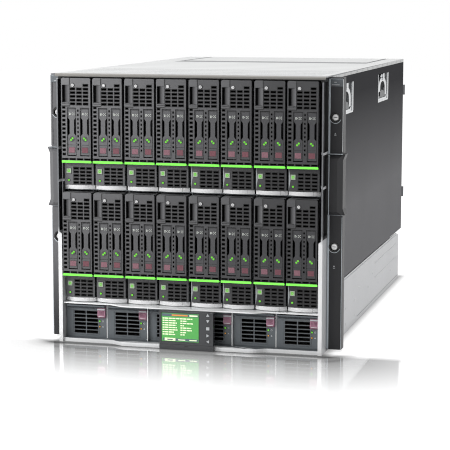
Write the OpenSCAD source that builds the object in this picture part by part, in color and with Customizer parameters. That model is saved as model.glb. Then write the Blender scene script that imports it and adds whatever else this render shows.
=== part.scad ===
// Blade server enclosure, ten rack units high: two rows of eight half-height
// blades over six power supplies, with fans and interconnects at the rear.
// Origin: middle of the bounding box in plan, on the floor. +X is to the right
// seen from the front, -Y is the front and +Z is up. Millimetres.

/* [Blades] */
// Width of one blade
blade_w = 49.6; // [46:0.1:54]
// Height of one blade
blade_h = 182.3; // [176:0.1:190]
// Depth of one blade
blade_d = 518; // [480:1:540]
// Gap between neighbouring blades
blade_gap = 3.7; // [3.3:0.1:5]
// Extra gap after every second blade, for a divider
pair_gap = 0.8; // [0.5:0.1:2]
// Gap between the two rows of blades
row_gap = 4.1; // [3.4:0.1:6]
// Sheet of a blade's sleeve
sleeve_t = 1; // [0.8:0.1:1.4]
// Thickness of a blade's front grille
grille_t = 3; // [2:0.1:4]
// How far the lower blade front stands back
step_back = 13; // [10:0.5:15]

/* [Ejector levers] */
// Height of a lever bar
lever_h = 6.2; // [5:0.1:6.4]
// How far the lever bar bows forward in the middle
lever_bow = 9; // [5:0.5:11]
// Radius of a lever pin
pin_r = 1.2; // [0.9:0.05:1.5]
// Running clearance round a lever pin
pin_clear = 0.05; // [0.03:0.01:0.08]

/* [Power bay] */
// Clear height of the power bay
power_bay_h = 57.8; // [56:0.2:61]
// Height of the turned-down front lip
lip_h = 6.2; // [5:0.1:7]
// How far the lip and the strip above flare forward in the middle
flare = 12; // [8:0.5:14]
// Width of the curved part of the flare on each side
flare_w = 30; // [24:1:36]
// Setback of the power supply faces
psu_setback = 16; // [14:0.5:20]

/* [Display] */
// Width of the display unit
display_w = 90.5; // [84:0.5:96]
// Offset of the display to the right of the middle
display_x = 2; // [0:0.5:4]
// Thickness of the display panel
display_t = 4.6; // [4:0.1:5.6]
// Screen width and height
screen_w = 62.4; // [56:0.2:64]
screen_h = 46.5; // [40:0.5:47]

/* [Shell] */
// Thickness of the outer sheet panels
panel_t = 1.5; // [1.2:0.1:2]
// Width of the frame at each side of the blades
side_w = 9.1; // [8.9:0.1:11]
// Height of the light lower housing
base_h = 97; // [94:0.5:100]
// Rear of the lower housing, in front of the rear of the cover
base_setback = 32; // [20:1:40]
// Thickness of the cover's top plate
cover_t = 2; // [1.5:0.1:3]
// Width of a rack ear
ear_w = 21.7; // [19:0.1:24]
// Depth of a rack ear
ear_d = 21.4; // [18:0.1:24]
// Setback of the ears behind the blade faces
ear_setback = 36.6; // [32:0.1:42]

/* [Rear modules] */
// Depth of the fans and interconnects
rear_d = 248; // [230:1:260]
// Edge of a square fan
fan_h = 82; // [78:0.5:84]
// Height of a management module
manager_h = 21; // [19:0.5:23]
// Reach of the module handles beyond the rear edge
handle_reach = 16; // [12:0.5:18]
// Depth of a power inlet
inlet_d = 38; // [34:1:44]

/* [Hidden] */
COLUMNS = 8;
ROWS = 2;
SUPPLIES = 6;
FANS = 5;
SWITCH_ROWS = 4;
seat = 0.3;               // clearance of a piece that rests or slides
lap = 0.01;               // overlap of cutting shapes past a face
rack_unit = 44.45;
rack_hole_pitch = 465.1;  // across the two ears

// Widths
bay_pitch = blade_w + blade_gap;
bays_w = COLUMNS * bay_pitch + (COLUMNS / 2 - 1) * pair_gap;
body_w = bays_w + 2 * side_w;
psu_pitch = bays_w / SUPPLIES;

// Heights
deck_z = lip_h;                              // top of the power bay floor
deck_t = 1.5;
ceiling_z = deck_z + power_bay_h;            // underside of the lower blade shelf
shelf_t = 1.7;
hem_h = 2;                                   // height of the strip over the supplies
row_z0 = ceiling_z + shelf_t + seat + 0.3;
row_pitch = blade_h + row_gap;
bays_top = row_z0 + 2 * blade_h + row_gap;
cover_lip = 6;                               // turned-down edge of the cover
body_h = bays_top + 1.2 + cover_lip;
seam = 2;                                    // gap between base and side panel

// Depths behind the blade faces
connector_d = 12;
midplane_t = 6;
rear_front = blade_d + connector_d + midplane_t + 13;   // front of the rear modules
body_d = rear_front + rear_d;
base_d = body_d - base_setback;
frame_d = ear_setback + ear_d;                          // depth of the front frame
frame_half = body_w / 2 - panel_t - 1.2;                // half the width of the front frame
backplane_y = base_d - inlet_d - 20;
flare_x = 120;                                          // middle of the curved part
frame_front = 4;                                        // setback of the lip at the sides
tray_t = 3.1;
tray_clear = 0.4;                                       // gap before and behind the tray
key_t = 0.7;
front_reach = flare - frame_front + tray_t + 2 * tray_clear + display_t + key_t;
face_y = -(front_reach + body_d + handle_reach) / 2 + front_reach;
rear_y = face_y + body_d;

// ---------------------------------------------------------------- helpers

// Box between two corners.
module box(x, y, z) {
    translate([x[0], y[0], z[0]]) cube([x[1] - x[0], y[1] - y[0], z[1] - z[0]]);
}

// The children and their mirror image on the left.
module both_sides() {
    children();
    mirror([1, 0, 0]) children();
}

// Outline in (y, z) made into a slab between two x values.
module slab_x(x) {
    translate([x[0], 0, 0]) rotate([90, 0, 90]) linear_extrude(x[1] - x[0]) children();
}

// Outline in (x, z) made into a slab between two y values.
module slab_y(y) {
    translate([0, y[1], 0]) rotate([90, 0, 0]) linear_extrude(y[1] - y[0]) children();
}

// Rectangular holes in a grid; first is the lower left corner of the first hole.
module slots(first, size, pitch, counts, y) {
    for (i = [0 : counts[0] - 1], j = [0 : counts[1] - 1])
        translate([first[0] + i * pitch[0], y[0], first[1] + j * pitch[1]])
            cube([size[0], y[1] - y[0], size[1]]);
}

// Round peg along Y.
module peg_y(at, r, y) {
    translate([at[0], y[1], at[1]]) rotate([90, 0, 0]) cylinder(r = r, h = y[1] - y[0], $fn = 48);
}

// Left edge of a blade column, counted from 0.
function bay_x(col) =
    -bays_w / 2 + blade_gap / 2 + col * bay_pitch + floor(col / 2) * pair_gap;
// Bottom of a blade row; row 0 is the upper one.
function row_z(row) = row_z0 + (ROWS - 1 - row) * row_pitch;
// Left edge of a power supply bay, counted from 0.
function psu_x(i) = -bays_w / 2 + i * psu_pitch;
// Setback of the lip and the strip: 0 at the sides, -flare in the middle.
function flare_at(x) =
    let (t = min(1, max(0, (flare_x + flare_w / 2 - abs(x)) / flare_w)))
    -flare * (1 - cos(180 * t)) / 2;
// Front edge of the lip and the strip in plan, from left to right.
function flare_points(half, y0) =
    let (edge = [for (k = [0 : 6]) flare_x - flare_w / 2 + k * flare_w / 6])
    concat([[-half, y0]], [for (k = [6 : -1 : 0]) [-edge[k], y0 + flare_at(edge[k])]],
           [for (k = [0 : 6]) [edge[k], y0 + flare_at(edge[k])]], [[half, y0]]);

// ---------------------------------------------------------------- blades

// Heights on a blade, from its bottom
lever_z = 0.8;
panel_z = [7.5, 44.6];                 // lower front, stepped back
strip_z = [44.6, 48.2];                // bright strip
drive_z = [57.1, 132.9];
recess_z = [55.6, 134.3];
grip_z = [137, blade_h];
grip_w = 14.2;
grip_hole_z = [142.5, blade_h - 11.5];
sleeve_front = 8;
drive_x = [10, 32.2];                  // left edges of the two drives
drive_w = 14.6;
drive_front = 1;
seam_w = 0.6;                          // open seam round the grip

// Side outline of a blade's sleeve, in (y, z).
module sleeve_outline(inset) {
    low = step_back + grille_t;
    polygon([[low + 8 + inset, inset], [blade_d - inset, inset], [blade_d - inset, blade_h - inset],
             [sleeve_front - (inset > 0 ? 1 : 0), blade_h - inset],
             [sleeve_front - (inset > 0 ? 1 : 0), panel_z[1] + inset], [low - (inset > 0 ? 1 : 0), panel_z[1] + inset],
             [low - (inset > 0 ? 1 : 0), panel_z[0] + inset], [low + 8 + inset, panel_z[0] + inset]]);
}

// Folded sheet sleeve, open at the front.
module blade_sleeve() {
    difference() {
        slab_x([0.6, blade_w - 0.6]) sleeve_outline(0);
        slab_x([0.6 + sleeve_t, blade_w - 0.6 - sleeve_t]) sleeve_outline(sleeve_t);
    }
}

// Front grille with its drive bay and ventilation slots.
module blade_grille() {
    top = blade_h - 0.2;
    difference() {
        union() {
            slab_y([0, grille_t]) polygon([[0, strip_z[1]], [blade_w, strip_z[1]],
                [blade_w, top - 1.2], [blade_w - 1.2, top], [grip_w + seam_w, top],
                [grip_w + seam_w, grip_z[0] - seam_w], [0, grip_z[0] - seam_w]]);
            box([0, 1.4], [grille_t, sleeve_front], [strip_z[1], grip_z[0]]);
            box([blade_w - 1.4, blade_w], [grille_t, sleeve_front], [strip_z[1], top - 1.2]);
            box([grip_w, blade_w - 1.4], [grille_t, sleeve_front], [top - 1.4, top]);
        }
        slots([15.5, blade_h - 43.3], [8.2, 2.9], [11, 6], [3, 5], [-lap, grille_t + lap]);
        slots([37.5, blade_h - 13.3], [8.2, 3], [1, 1], [1, 1], [-lap, grille_t + lap]);
        slots([1.8, 57], [4.6, 3.1], [1, 6.9], [1, 12], [-lap, grille_t + lap]);
        slots([27.2, 66], [2.2, 2.6], [1, 6.9], [1, 10], [-lap, grille_t + lap]);
        slots([1, 49.4], [10, 2.3], [12.6, 1], [4, 1], [-lap, grille_t + lap]);
        for (x = drive_x)
            box([x - 0.6, x + drive_w + 0.6], [-lap, grille_t + lap], recess_z);
    }
}

// Pull grip in the upper left corner: a scoop for the fingers, deep at its left.
module blade_grip() {
    hole_x = [1.6, grip_w - 0.6];
    floor_x = 8.2;
    cup_d = 21;
    difference() {
        union() {
            slab_y([0, sleeve_front]) polygon([[0, grip_z[0]], [grip_w, grip_z[0]], [grip_w, grip_z[1]],
                [2, grip_z[1]], [0, grip_z[1] - 2]]);
            box([hole_x[0] - 0.3, hole_x[1] + 1], [sleeve_front - 1, cup_d + 1],
                [grip_hole_z[0] - 1.2, grip_hole_z[1] + 1.2]);
        }
        translate([0, 0, grip_hole_z[0]]) linear_extrude(grip_hole_z[1] - grip_hole_z[0])
            polygon([[hole_x[0], -lap], [hole_x[0], cup_d], [floor_x, cup_d],
                [hole_x[1] - 1.2, 1.4], [hole_x[1], -lap]]);
    }
}

// Drive carrier: rounded cap, thin stem and wide foot before a closed drive.
module drive(x) {
    stem = 3.6;
    neck_z = [92, 117];
    cap = 3;
    translate([x, 0, 0]) {
        slab_y([drive_front, 12]) polygon([[0, drive_z[0]], [drive_w, drive_z[0]],
            [drive_w, neck_z[0] - 4], [drive_w - stem, neck_z[0]], [drive_w - stem, neck_z[1] - cap],
            [drive_w - stem + 2, neck_z[1]], [drive_w, neck_z[1] + 2], [drive_w, drive_z[1]],
            [0, drive_z[1]], [0, neck_z[1] + 2], [stem - 2, neck_z[1]], [stem, neck_z[1] - cap],
            [stem, neck_z[0]], [0, neck_z[0] - 4]]);
        box([0, drive_w], [12, 100], drive_z);
        box([2.2, drive_w - 2.2], [drive_front - 0.8, drive_front], [61, 69.6]);
        peg_y([drive_w / 2, 83.2], 4, [drive_front - 0.5, drive_front]);
    }
}

// Lower front with its own slots, power button and lamp.
module blade_lower_front() {
    y = [step_back, step_back + grille_t];
    difference() {
        box([0, blade_w], y, panel_z);
        slots([15.6, 9.7], [8, 2.5], [11.1, 5.85], [3, 5], [y[0] - lap, y[1] + lap]);
    }
    box([3, 11.2], [y[0] - 0.8, y[0]], [26, 34]);
    peg_y([7, 14.8], 1.7, [y[0] - 0.6, y[0]]);
}

// Plate and pin that carry the ejector lever.
pin_at = [2.2, 18.8];
module lever_mount() {
    plate_t = 0.5;
    low = step_back + grille_t + 8;
    box([0, blade_w], [pin_at[1] - 3.4, low], [0, plate_t]);
    translate([pin_at[0], pin_at[1], plate_t])
        cylinder(r = pin_r, h = lever_z + lever_h - plate_t, $fn = 32);
}

// Circuit board, two heat sinks, memory and the rear plug inside a sleeve.
module blade_inside() {
    board_x = blade_w - 0.6 - sleeve_t - seat - 1.6;
    mid = blade_h / 2;
    box([board_x, board_x + 1.6], [110, blade_d - sleeve_t - seat], [10, blade_h - 10]);
    for (y = [190, 330]) {
        box([board_x - 4, board_x], [y, y + 78], [mid - 39, mid + 39]);
        for (k = [0 : 8])
            box([board_x - 26, board_x - 4], [y + 2 + k * 9, y + 4 + k * 9], [mid - 38, mid + 38]);
    }
    for (k = [0 : 3])
        box([board_x - 30, board_x], [430 + k * 12, 433 + k * 12], [mid - 66, mid + 66]);
}

// Plug that enters the midplane socket, on the sleeve's rear wall.
module blade_plug() {
    box([14, blade_w - 14], [blade_d, blade_d + 3.6], [blade_h / 2 - 28, blade_h / 2 + 28]);
}

module blade(n) {
    col = (n - 1) % COLUMNS;
    row = floor((n - 1) / COLUMNS);
    translate([bay_x(col), face_y, row_z(row)]) {
        color("dimgray") blade_sleeve();
        color("dimgray") blade_grille();
        color("dimgray") blade_grip();
        color("lime") box([0, blade_w], [-0.6, sleeve_front], strip_z);
        color("gray") for (x = drive_x) drive(x);
        color("dimgray") blade_lower_front();
        color("silver") lever_mount();
        color("silver") peg_y([19.4, blade_h - 11.6], 3.2, [-1, 0]);
        color("seagreen") blade_inside();
        color("black") blade_plug();
    }
}

// ---------------------------------------------------------------- levers

lever_x = [-0.9, blade_w + 1.1];
tab_x = blade_w - 9.8;                 // left edge of the release tab
lever_back = 22;

// Plan of the lever bar between two x values: straight back, bowed front.
module lever_plan(x0, x1) {
    half = (lever_x[1] - lever_x[0]) / 2;
    mid = (lever_x[0] + lever_x[1]) / 2;
    end = 18;
    steps = 10;
    polygon(concat([[x0, lever_back]],
        [for (k = [0 : steps]) let (x = x0 + k * (x1 - x0) / steps)
            [x, end - lever_bow * (1 - pow((x - mid) / half, 2))]],
        [[x1, lever_back]]));
}

module lever(n) {
    col = (n - 1) % COLUMNS;
    row = floor((n - 1) / COLUMNS);
    split = 0.4;
    translate([bay_x(col), face_y, row_z(row) + lever_z]) color("gainsboro") {
        difference() {
            union() {
                linear_extrude(lever_h) lever_plan(lever_x[0], tab_x);
                linear_extrude(lever_h) translate([tab_x - 1, lever_back - 2.5]) square([lever_x[1] - tab_x, 2.5]);
            }
            translate([pin_at[0], pin_at[1], -1]) cylinder(r = pin_r + pin_clear, h = lever_h + 2, $fn = 32);
        }
        difference() {
            linear_extrude(lever_h) lever_plan(tab_x + split, lever_x[1]);
            box([tab_x, lever_x[1] + 1], [lever_back - 2.5 - seat, lever_back + 1], [-1, lever_h + 1]);
        }
    }
}

// ---------------------------------------------------------------- power supplies

psu_clear = 1;
psu_w = psu_pitch - 2 * psu_clear;
psu_z = [deck_z + seat, ceiling_z - 2.5];
psu_d = backplane_y - 8 - seat - psu_setback;
latch_x = [psu_w - 14, psu_w - 1];
latch_z = [psu_z[1] - 21.5, psu_z[1] - 5];

module power_supply(n) {
    wall = 1.2;
    face = psu_setback;
    h = psu_z[1] - psu_z[0];
    translate([psu_x(n - 1) + psu_clear, face_y, 0]) {
        color("dimgray") difference() {
            union() {
                box([0, psu_w], [face, face + 4], psu_z);
                slab_x([3, psu_w - 1]) polygon([[face - 9, psu_z[1]], [face, psu_z[1]],
                    [face, psu_z[1] - 7], [face - 9, psu_z[1] - 2]]);
            }
            slots([14, psu_z[0] + 6.9], [19, 4.1], [21.4, 6.5], [2, 6], [face - lap, face + 4 + lap]);
        }
        color("darkgray") difference() {
            box([0.6, psu_w - 0.6], [face + 4, face + psu_d], psu_z);
            box([0.6 + wall, psu_w - 0.6 - wall], [face + 4 - lap, face + psu_d - wall],
                [psu_z[0] + wall, psu_z[1] - wall]);
        }
        color("maroon") slab_x(latch_x) polygon([[face - 4, latch_z[1]], [face, latch_z[1]],
            [face, latch_z[0]], [face - 3, latch_z[0]], [face - 5.5, latch_z[0] + 3]]);
        color("lime") peg_y([psu_w - 11.5, latch_z[0] - 6], 1.6, [face - 0.6, face]);
        color("orange") peg_y([psu_w - 11.5, latch_z[0] - 15], 1.2, [face - 0.6, face]);
        color("black") box([psu_w / 2 - 20, psu_w / 2 + 20], [face + psu_d, face + psu_d + 4],
            [psu_z[0] + 12, psu_z[1] - 12]);
    }
}

// ---------------------------------------------------------------- display

tray_y = -(flare - frame_front) - tray_clear - tray_t;       // front of the tray plate
tray_z = [0.6, ceiling_z - 0.6];
chin_h = 8.4;
display_y = tray_y - tray_clear - display_t;
display_z = [tray_z[0] + chin_h + 0.4, tray_z[1] - 0.4];
knuckle_r = 1.5;                                   // rounded edge round the hinge line
hinge_r = 0.9;
hinge_at = [tray_y - tray_clear - knuckle_r, display_z[1] - knuckle_r];     // (y, z)

// Tray that slides left and right on the lip and the strip.
module display_tray() {
    half = display_w / 2;
    translate([display_x, face_y, 0]) color("#333333") {
        box([-half, half], [tray_y, tray_y + tray_t], tray_z);
        box([-half, half], [display_y + 0.4, tray_y], [tray_z[0], tray_z[0] + chin_h]);
        // Runner between the lip and the strip
        box([-half + 6, half - 6], [tray_y + tray_t, 6], [deck_z + seat, deck_z + seat + 5]);
        box([-half + 6, half - 6], [tray_y + tray_t, 6], [ceiling_z - seat - 4, ceiling_z - seat]);
        box([-half + 6, half - 6], [4, 6], [deck_z + seat, ceiling_z - seat]);
        // Hinge pins at the two upper corners
        for (side = [-1, 1]) {
            slab_x([side * (half - 1) - 1, side * (half - 1) + 1]) translate(hinge_at) {
                circle(knuckle_r, $fn = 32);
                translate([0, -knuckle_r]) square([tray_y - hinge_at[0], 2 * knuckle_r]);
            }
            translate([side * (half - 3.5) - 2.5, hinge_at[0], hinge_at[1]]) rotate([0, 90, 0])
                cylinder(r = hinge_r, h = 5, $fn = 32);
        }
    }
}

// Panel that tilts up on the tray.
module display_panel() {
    half = display_w / 2;
    screen_x = -half + 4;
    screen_z = display_z[1] - 2.6 - screen_h;
    translate([display_x, face_y, 0]) {
        color("#444444") difference() {
            slab_x([-half + 0.3, half - 0.3]) {
                translate(hinge_at) circle(knuckle_r, $fn = 32);
                polygon([[display_y, display_z[0]], [display_y + display_t, display_z[0]],
                    [display_y + display_t, hinge_at[1]], [hinge_at[0], hinge_at[1]],
                    [hinge_at[0], display_z[1]], [display_y, display_z[1]]]);
            }
            box([screen_x, screen_x + screen_w], [display_y - lap, display_y + 1], [screen_z, screen_z + screen_h]);
            for (side = [-1, 1]) {
                box([side * (half - 1.1) - 1.3, side * (half - 1.1) + 1.3],
                    [hinge_at[0] - 2, display_y + display_t + lap], [hinge_at[1] - 2, display_z[1] + lap]);
                translate([side * (half - 3.5) - 3.5, hinge_at[0], hinge_at[1]]) rotate([0, 90, 0])
                    cylinder(r = hinge_r + 0.05, h = 7, $fn = 32);
            }
        }
        color("limegreen") box([screen_x + 0.3, screen_x + screen_w - 0.3], [display_y + 0.3, display_y + 1],
            [screen_z + 0.3, screen_z + screen_h - 0.3]);
    }
}

// Five keys down the right of the screen, measured from the panel's top.
key_z = [for (drop = [3.5, 13.4, 25.4, 36.9, 46.5]) display_z[1] - drop];
module display_keys() {
    key_x = display_w / 2 - 9;
    translate([display_x + key_x, face_y, 0]) color("silver") {
        for (k = [0 : 4])
            slab_y([display_y - key_t, display_y]) translate([0, key_z[k]]) {
                if (k == 0) polygon([[-2.6, -2], [2.6, -2], [0, 2.4]]);
                if (k == 1) polygon([[-2.6, 2], [0, -2.4], [2.6, 2]]);
                if (k == 2) translate([-2.6, -2.4]) square([5.2, 4.8]);
                if (k == 3) polygon([[-2, -2.6], [2.4, 0], [-2, 2.6]]);
                if (k == 4) polygon([[2, -2.6], [2, 2.6], [-2.4, 0]]);
            }
    }
}

// ---------------------------------------------------------------- shell

base_front = frame_d + seat;

// Light lower housing: floor and two sides with a cut upper rear corner.
module base_housing() {
    side = [[base_front, 0], [base_d, 0], [base_d, base_h - 7], [base_d - 32, base_h], [base_front, base_h]];
    color("lightgray") {
        both_sides() translate([0, face_y, 0]) slab_x([body_w / 2 - panel_t, body_w / 2]) polygon(side);
        translate([0, face_y, 0])
            box([-body_w / 2 + panel_t, body_w / 2 - panel_t], [base_front, base_d], [0, panel_t]);
        // Pressed beads on the sides
        both_sides() translate([0, face_y, 0]) for (bead = [
                [base_d - 282, base_d - 27, base_h - 22],
                [base_d - 280, base_d - 15, base_h - 49]])
            box([body_w / 2, body_w / 2 + 0.6], [bead[0], bead[1]], [bead[2] - 0.7, bead[2] + 0.7]);
    }
}

// Windows of the lift brackets in a side panel
lift_w = 113;
lift_z = [body_h - 70.2, body_h - 18.2];
lift_y = [126, body_d - 303];

// Dark panel at one side of the blades, with windows for the lift brackets.
module side_panel() {
    x = [body_w / 2 - panel_t, body_w / 2];
    color("dimgray") translate([0, face_y, 0]) difference() {
        box(x, [base_front, body_d], [base_h + seam, body_h - cover_lip - seat]);
        for (y = lift_y)
            box([x[0] - 1, x[1] + 1], [y, y + lift_w], lift_z);
    }
}
module right_side_panel() side_panel();
module left_side_panel() mirror([1, 0, 0]) side_panel();

// Cover with a rolled front edge, pressed ridges and a rear seam.
module top_cover() {
    nose = 5;
    half = body_w / 2;
    z = body_h - cover_t;
    seam_x = [-175, 190];
    color("whitesmoke") translate([0, face_y, 0]) {
        difference() {
            union() {
                box([-half, half], [nose, body_d], [z, body_h]);
                translate([-half, nose, body_h - nose]) rotate([0, 90, 0]) intersection() {
                    cylinder(r = nose, h = body_w, $fn = 64);
                    translate([-nose, -nose, 0]) cube([nose, nose, body_w]);
                }
            }
            // Pressed lines across the cover
            for (k = [0 : 11])
                box([-half + 14, half - 14], [24 + k * 16, 26 + k * 16], [body_h - 0.9, body_h + 1]);
            translate([-half - 1, nose, body_h - nose]) rotate([0, 90, 0])
                cylinder(r = nose - cover_t, h = body_w + 2, $fn = 64);
            // Seam round the rear lid
            box(seam_x, [590, 593], [body_h - 1, body_h + 1]);
            for (x = seam_x) box([x - 1.5, x + 1.5], [590, body_d + 1], [body_h - 1, body_h + 1]);
        }
        both_sides() box([half - panel_t, half], [base_front, body_d], [body_h - cover_lip, z]);
    }
}

// Metal frame round the blade fronts. Each side is a thin wall with a deep gap
// beside the blades, and closes to a full-width face beside the lower row.
wall_t = 2.2;
gap_d = 16;                            // depth of the gap beside the blades
light_z = row_z0 + 113.7;              // top of the full-width part
crossbar = 4;
slot_top = body_h - 9;
slot_ends = [body_h / 2 + 43.9, body_h / 2 + 97.9];
slot_z = [[light_z + 10, slot_ends[0]], [slot_ends[0] + crossbar, slot_ends[1]],
    [slot_ends[1] + crossbar, slot_top]];
module front_frame() {
    inner = bays_w / 2;
    wall = frame_half - wall_t;
    top = body_h - cover_t - seat;
    color("silver") translate([0, face_y, 0]) {
        both_sides() difference() {
            union() {
                box([wall, frame_half], [0, frame_d], [0, slot_top]);
                box([inner, frame_half], [gap_d, frame_d], [0, slot_top]);
                slab_y([0, gap_d]) polygon([[inner, 0], [frame_half, 0], [frame_half, light_z + 5],
                    [inner, light_z]]);
            }
            // Windows in the outer side, with crossbars between them
            for (z = slot_z) {
                box([frame_half - wall_t / 2, frame_half + 1], [3.5, gap_d], z);
                box([inner + 2.4, frame_half + 1], [gap_d, ear_setback - 2], z);
            }
        }
        box([-frame_half, frame_half], [8, frame_d], [bays_top + 0.5, top]);
        both_sides() box([inner, frame_half], [8, frame_d], [slot_top, bays_top + 0.5]);
    }
}

// Floor, lip, strip and dividers of the power supply bays.
module power_bay_frame() {
    half = bays_w / 2 - seat;
    lip_t = 2.4;
    color("gainsboro") translate([0, face_y, 0]) {
        // Floor, with its turned-down lip along the front
        translate([0, 0, deck_z - deck_t]) linear_extrude(deck_t) polygon(concat(
            flare_points(half, frame_front), [[half, backplane_y - 8], [-half, backplane_y - 8]]));
        linear_extrude(lip_h) difference() {
            polygon(concat(flare_points(half, frame_front),
                [[half, frame_front + lip_t], [-half, frame_front + lip_t]]));
            polygon(concat(flare_points(half + 1, frame_front + lip_t),
                [[half + 1, base_front], [-half - 1, base_front]]));
        }
        // Strip over the supplies
        translate([0, 0, ceiling_z]) linear_extrude(hem_h) polygon(concat(
            flare_points(half, frame_front), [[half, 14], [-half, 14]]));
        // Dividers between the supplies
        for (i = [1 : SUPPLIES - 1])
            box([psu_x(i) - 0.6, psu_x(i) + 0.6], [i % 2 == 0 ? 10 : psu_setback, backplane_y - 8],
                [deck_z, ceiling_z]);
    }
}

// Shelves and dividers that guide the blades.
module blade_cage() {
    wall = 1.2;
    half = bays_w / 2;
    y = [frame_d + seat, blade_d + connector_d];
    shelf_y = [step_back + grille_t + 9, y[1]];
    color("slategray") translate([0, face_y, 0]) {
        for (row = [0, 1])
            box([-half + seat, half - seat], shelf_y, [row_z(row) - seat - shelf_t, row_z(row) - seat]);
        for (col = [1 : COLUMNS / 2 - 1]) {
            x = bay_x(2 * col) - (blade_gap + pair_gap) / 2;
            box([x - wall / 2, x + wall / 2], [shelf_y[0] + 4, y[1]], [row_z(1) - seat, row_z(0) - seat - shelf_t]);
            box([x - wall / 2, x + wall / 2], [shelf_y[0] + 4, y[1]], [row_z(0) - seat, bays_top + 0.2]);
        }
        both_sides() box([half - seat, half - seat + wall], y, [ceiling_z, bays_top + 0.2]);
    }
}

// ---------------------------------------------------------------- middle and rear

module midplane() {
    y = [blade_d + connector_d, blade_d + connector_d + midplane_t];
    color("darkgreen") translate([0, face_y, 0]) {
        box([-bays_w / 2, bays_w / 2], y, [ceiling_z + 4, bays_top]);
    }
    color("black") translate([0, face_y, 0]) for (col = [0 : COLUMNS - 1], row = [0, 1])
        translate([bay_x(col), 0, row_z(row)])
            box([13, blade_w - 13], [blade_d + 3.6 + seat, y[0]], [blade_h / 2 - 30, blade_h / 2 + 30]);
    // Sockets for the interconnect modules
    color("black") translate([0, face_y, 0]) for (side = [-1, 1], k = [0 : SWITCH_ROWS - 1])
        box([side * 100 - 45, side * 100 + 45], [y[1], rear_front + 4 - seat],
            [switch_z + k * switch_pitch + 4, switch_z + k * switch_pitch + 24]);
}

// Heights of the rear module rows: fans below and above, and between them the
// management modules and four rows of switches, which share the height that is left
cage_t = 1.5;                          // sheet of the rear shelves
row_clear = 0.5;                       // gap between a module and its shelf
cage_top = bays_top + 1;
low_fan_z = base_h + seam + 2 * cage_t;
manager_z = low_fan_z + fan_h + 2 * cage_t;
switch_z = manager_z + manager_h + 2 * cage_t;
high_fan_z = cage_top - cage_t - row_clear - fan_h;
switch_pitch = (high_fan_z - 2 * row_clear - switch_z) / SWITCH_ROWS;
switch_h = switch_pitch - 2;
fan_pitch = (body_w - 2 * panel_t) / FANS;
shelf_below = cage_t + row_clear;      // from a row down to the underside of its shelf
shelf_heights = [low_fan_z - shelf_below, manager_z - shelf_below, switch_z - shelf_below,
    high_fan_z - shelf_below, high_fan_z + fan_h + row_clear];

module rear_cage() {
    half = body_w / 2 - panel_t;
    y = [rear_front, body_d - 6];
    color("gray") translate([0, face_y, 0]) {
        for (z = shelf_heights) box([-half, half], y, [z, z + cage_t]);
        for (k = [1 : FANS - 1], z = [shelf_heights[0], shelf_heights[3]])
            box([-half + k * fan_pitch - 0.5, -half + k * fan_pitch + 0.5], y,
                [z + cage_t, z == shelf_heights[0] ? shelf_heights[1] : shelf_heights[4]]);
        for (k = [1, 2]) box([-0.5, 0.5], y, [shelf_heights[k] + cage_t, shelf_heights[k + 1]]);
        for (k = [1 : SWITCH_ROWS - 1], side = [-1, 1])
            box([side > 0 ? 0.5 : -half, side > 0 ? half : -0.5], y,
                [switch_z + k * switch_pitch - 1.5, switch_z + k * switch_pitch - 0.5]);
    }
}

// One fan: square housing with a round duct, hub, blades and guard rings.
// The middle of its handle is a height above its own middle.
module fan(x, z, handle) {
    w = fan_pitch - 2;
    r = fan_h / 2 - 4;
    c = [x + w / 2 + 1, z + fan_h / 2];
    color("dimgray") difference() {
        box([x + 1, x + 1 + w], [body_d - 110, body_d], [z, z + fan_h]);
        peg_y(c, r, [body_d - 109, body_d + 1]);
    }
    color("#303030") {
        peg_y(c, 17, [body_d - 109, body_d - 4]);
        for (k = [0 : 8]) translate([c[0], body_d - 30, c[1]]) rotate([0, k * 40, 0])
            rotate([0, 0, 35]) translate([-1, -10, 16]) cube([2, 20, r - 19]);
    }
    color("silver") {
        difference() {
            peg_y(c, r + 1.5, [body_d, body_d + 1.5]);
            for (k = [1 : 4]) difference() {
                peg_y(c, r * (k + 0.85) / 5, [body_d - 1, body_d + 3]);
                peg_y(c, r * (k + 0.05) / 5, [body_d - 2, body_d + 4]);
            }
        }
        for (turn = [45, 135]) translate([c[0], body_d, c[1]]) rotate([0, turn, 0])
            translate([-r, 0, -1]) cube([2 * r, 1.5, 2]);
    }
    // Hooked handle at the right of each fan, seen from the front
    color("maroon") translate([x + w, body_d, c[1] + handle - 10]) linear_extrude(20)
        polygon([[-4, 0], [1, 0], [1, handle_reach - 6], [5, handle_reach - 4], [5, handle_reach],
            [-4, handle_reach]]);
}

module fan_modules() {
    translate([0, face_y, 0]) for (k = [0 : FANS - 1], row = [[low_fan_z, 30], [high_fan_z, -13]])
        fan(-body_w / 2 + panel_t + k * fan_pitch, row[0] - seat, row[1]);
}

// Interconnect switches, two columns of four.
module interconnect_modules() {
    half = body_w / 2 - panel_t;
    translate([0, face_y, 0]) for (side = [-1, 1], k = [0 : SWITCH_ROWS - 1]) {
        x = side > 0 ? [1, half - 1] : [-half + 1, -1];
        z = switch_z + k * switch_pitch - seat;
        color("gray") difference() {
            box(x, [rear_front + 4, body_d], [z, z + switch_h - 1]);
            for (p = [0 : 7], row = [0, 1])
                box([x[0] + 40 + p * 17, x[0] + 53 + p * 17], [body_d - 12, body_d + 1],
                    [z + 4 + row * 13, z + 14 + row * 13]);
        }
        color("maroon") for (u = [x[0] + 10, x[1] - 18])
            box([u, u + 8], [body_d, body_d + 8], [z + 6, z + switch_h - 8]);
    }
}

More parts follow.
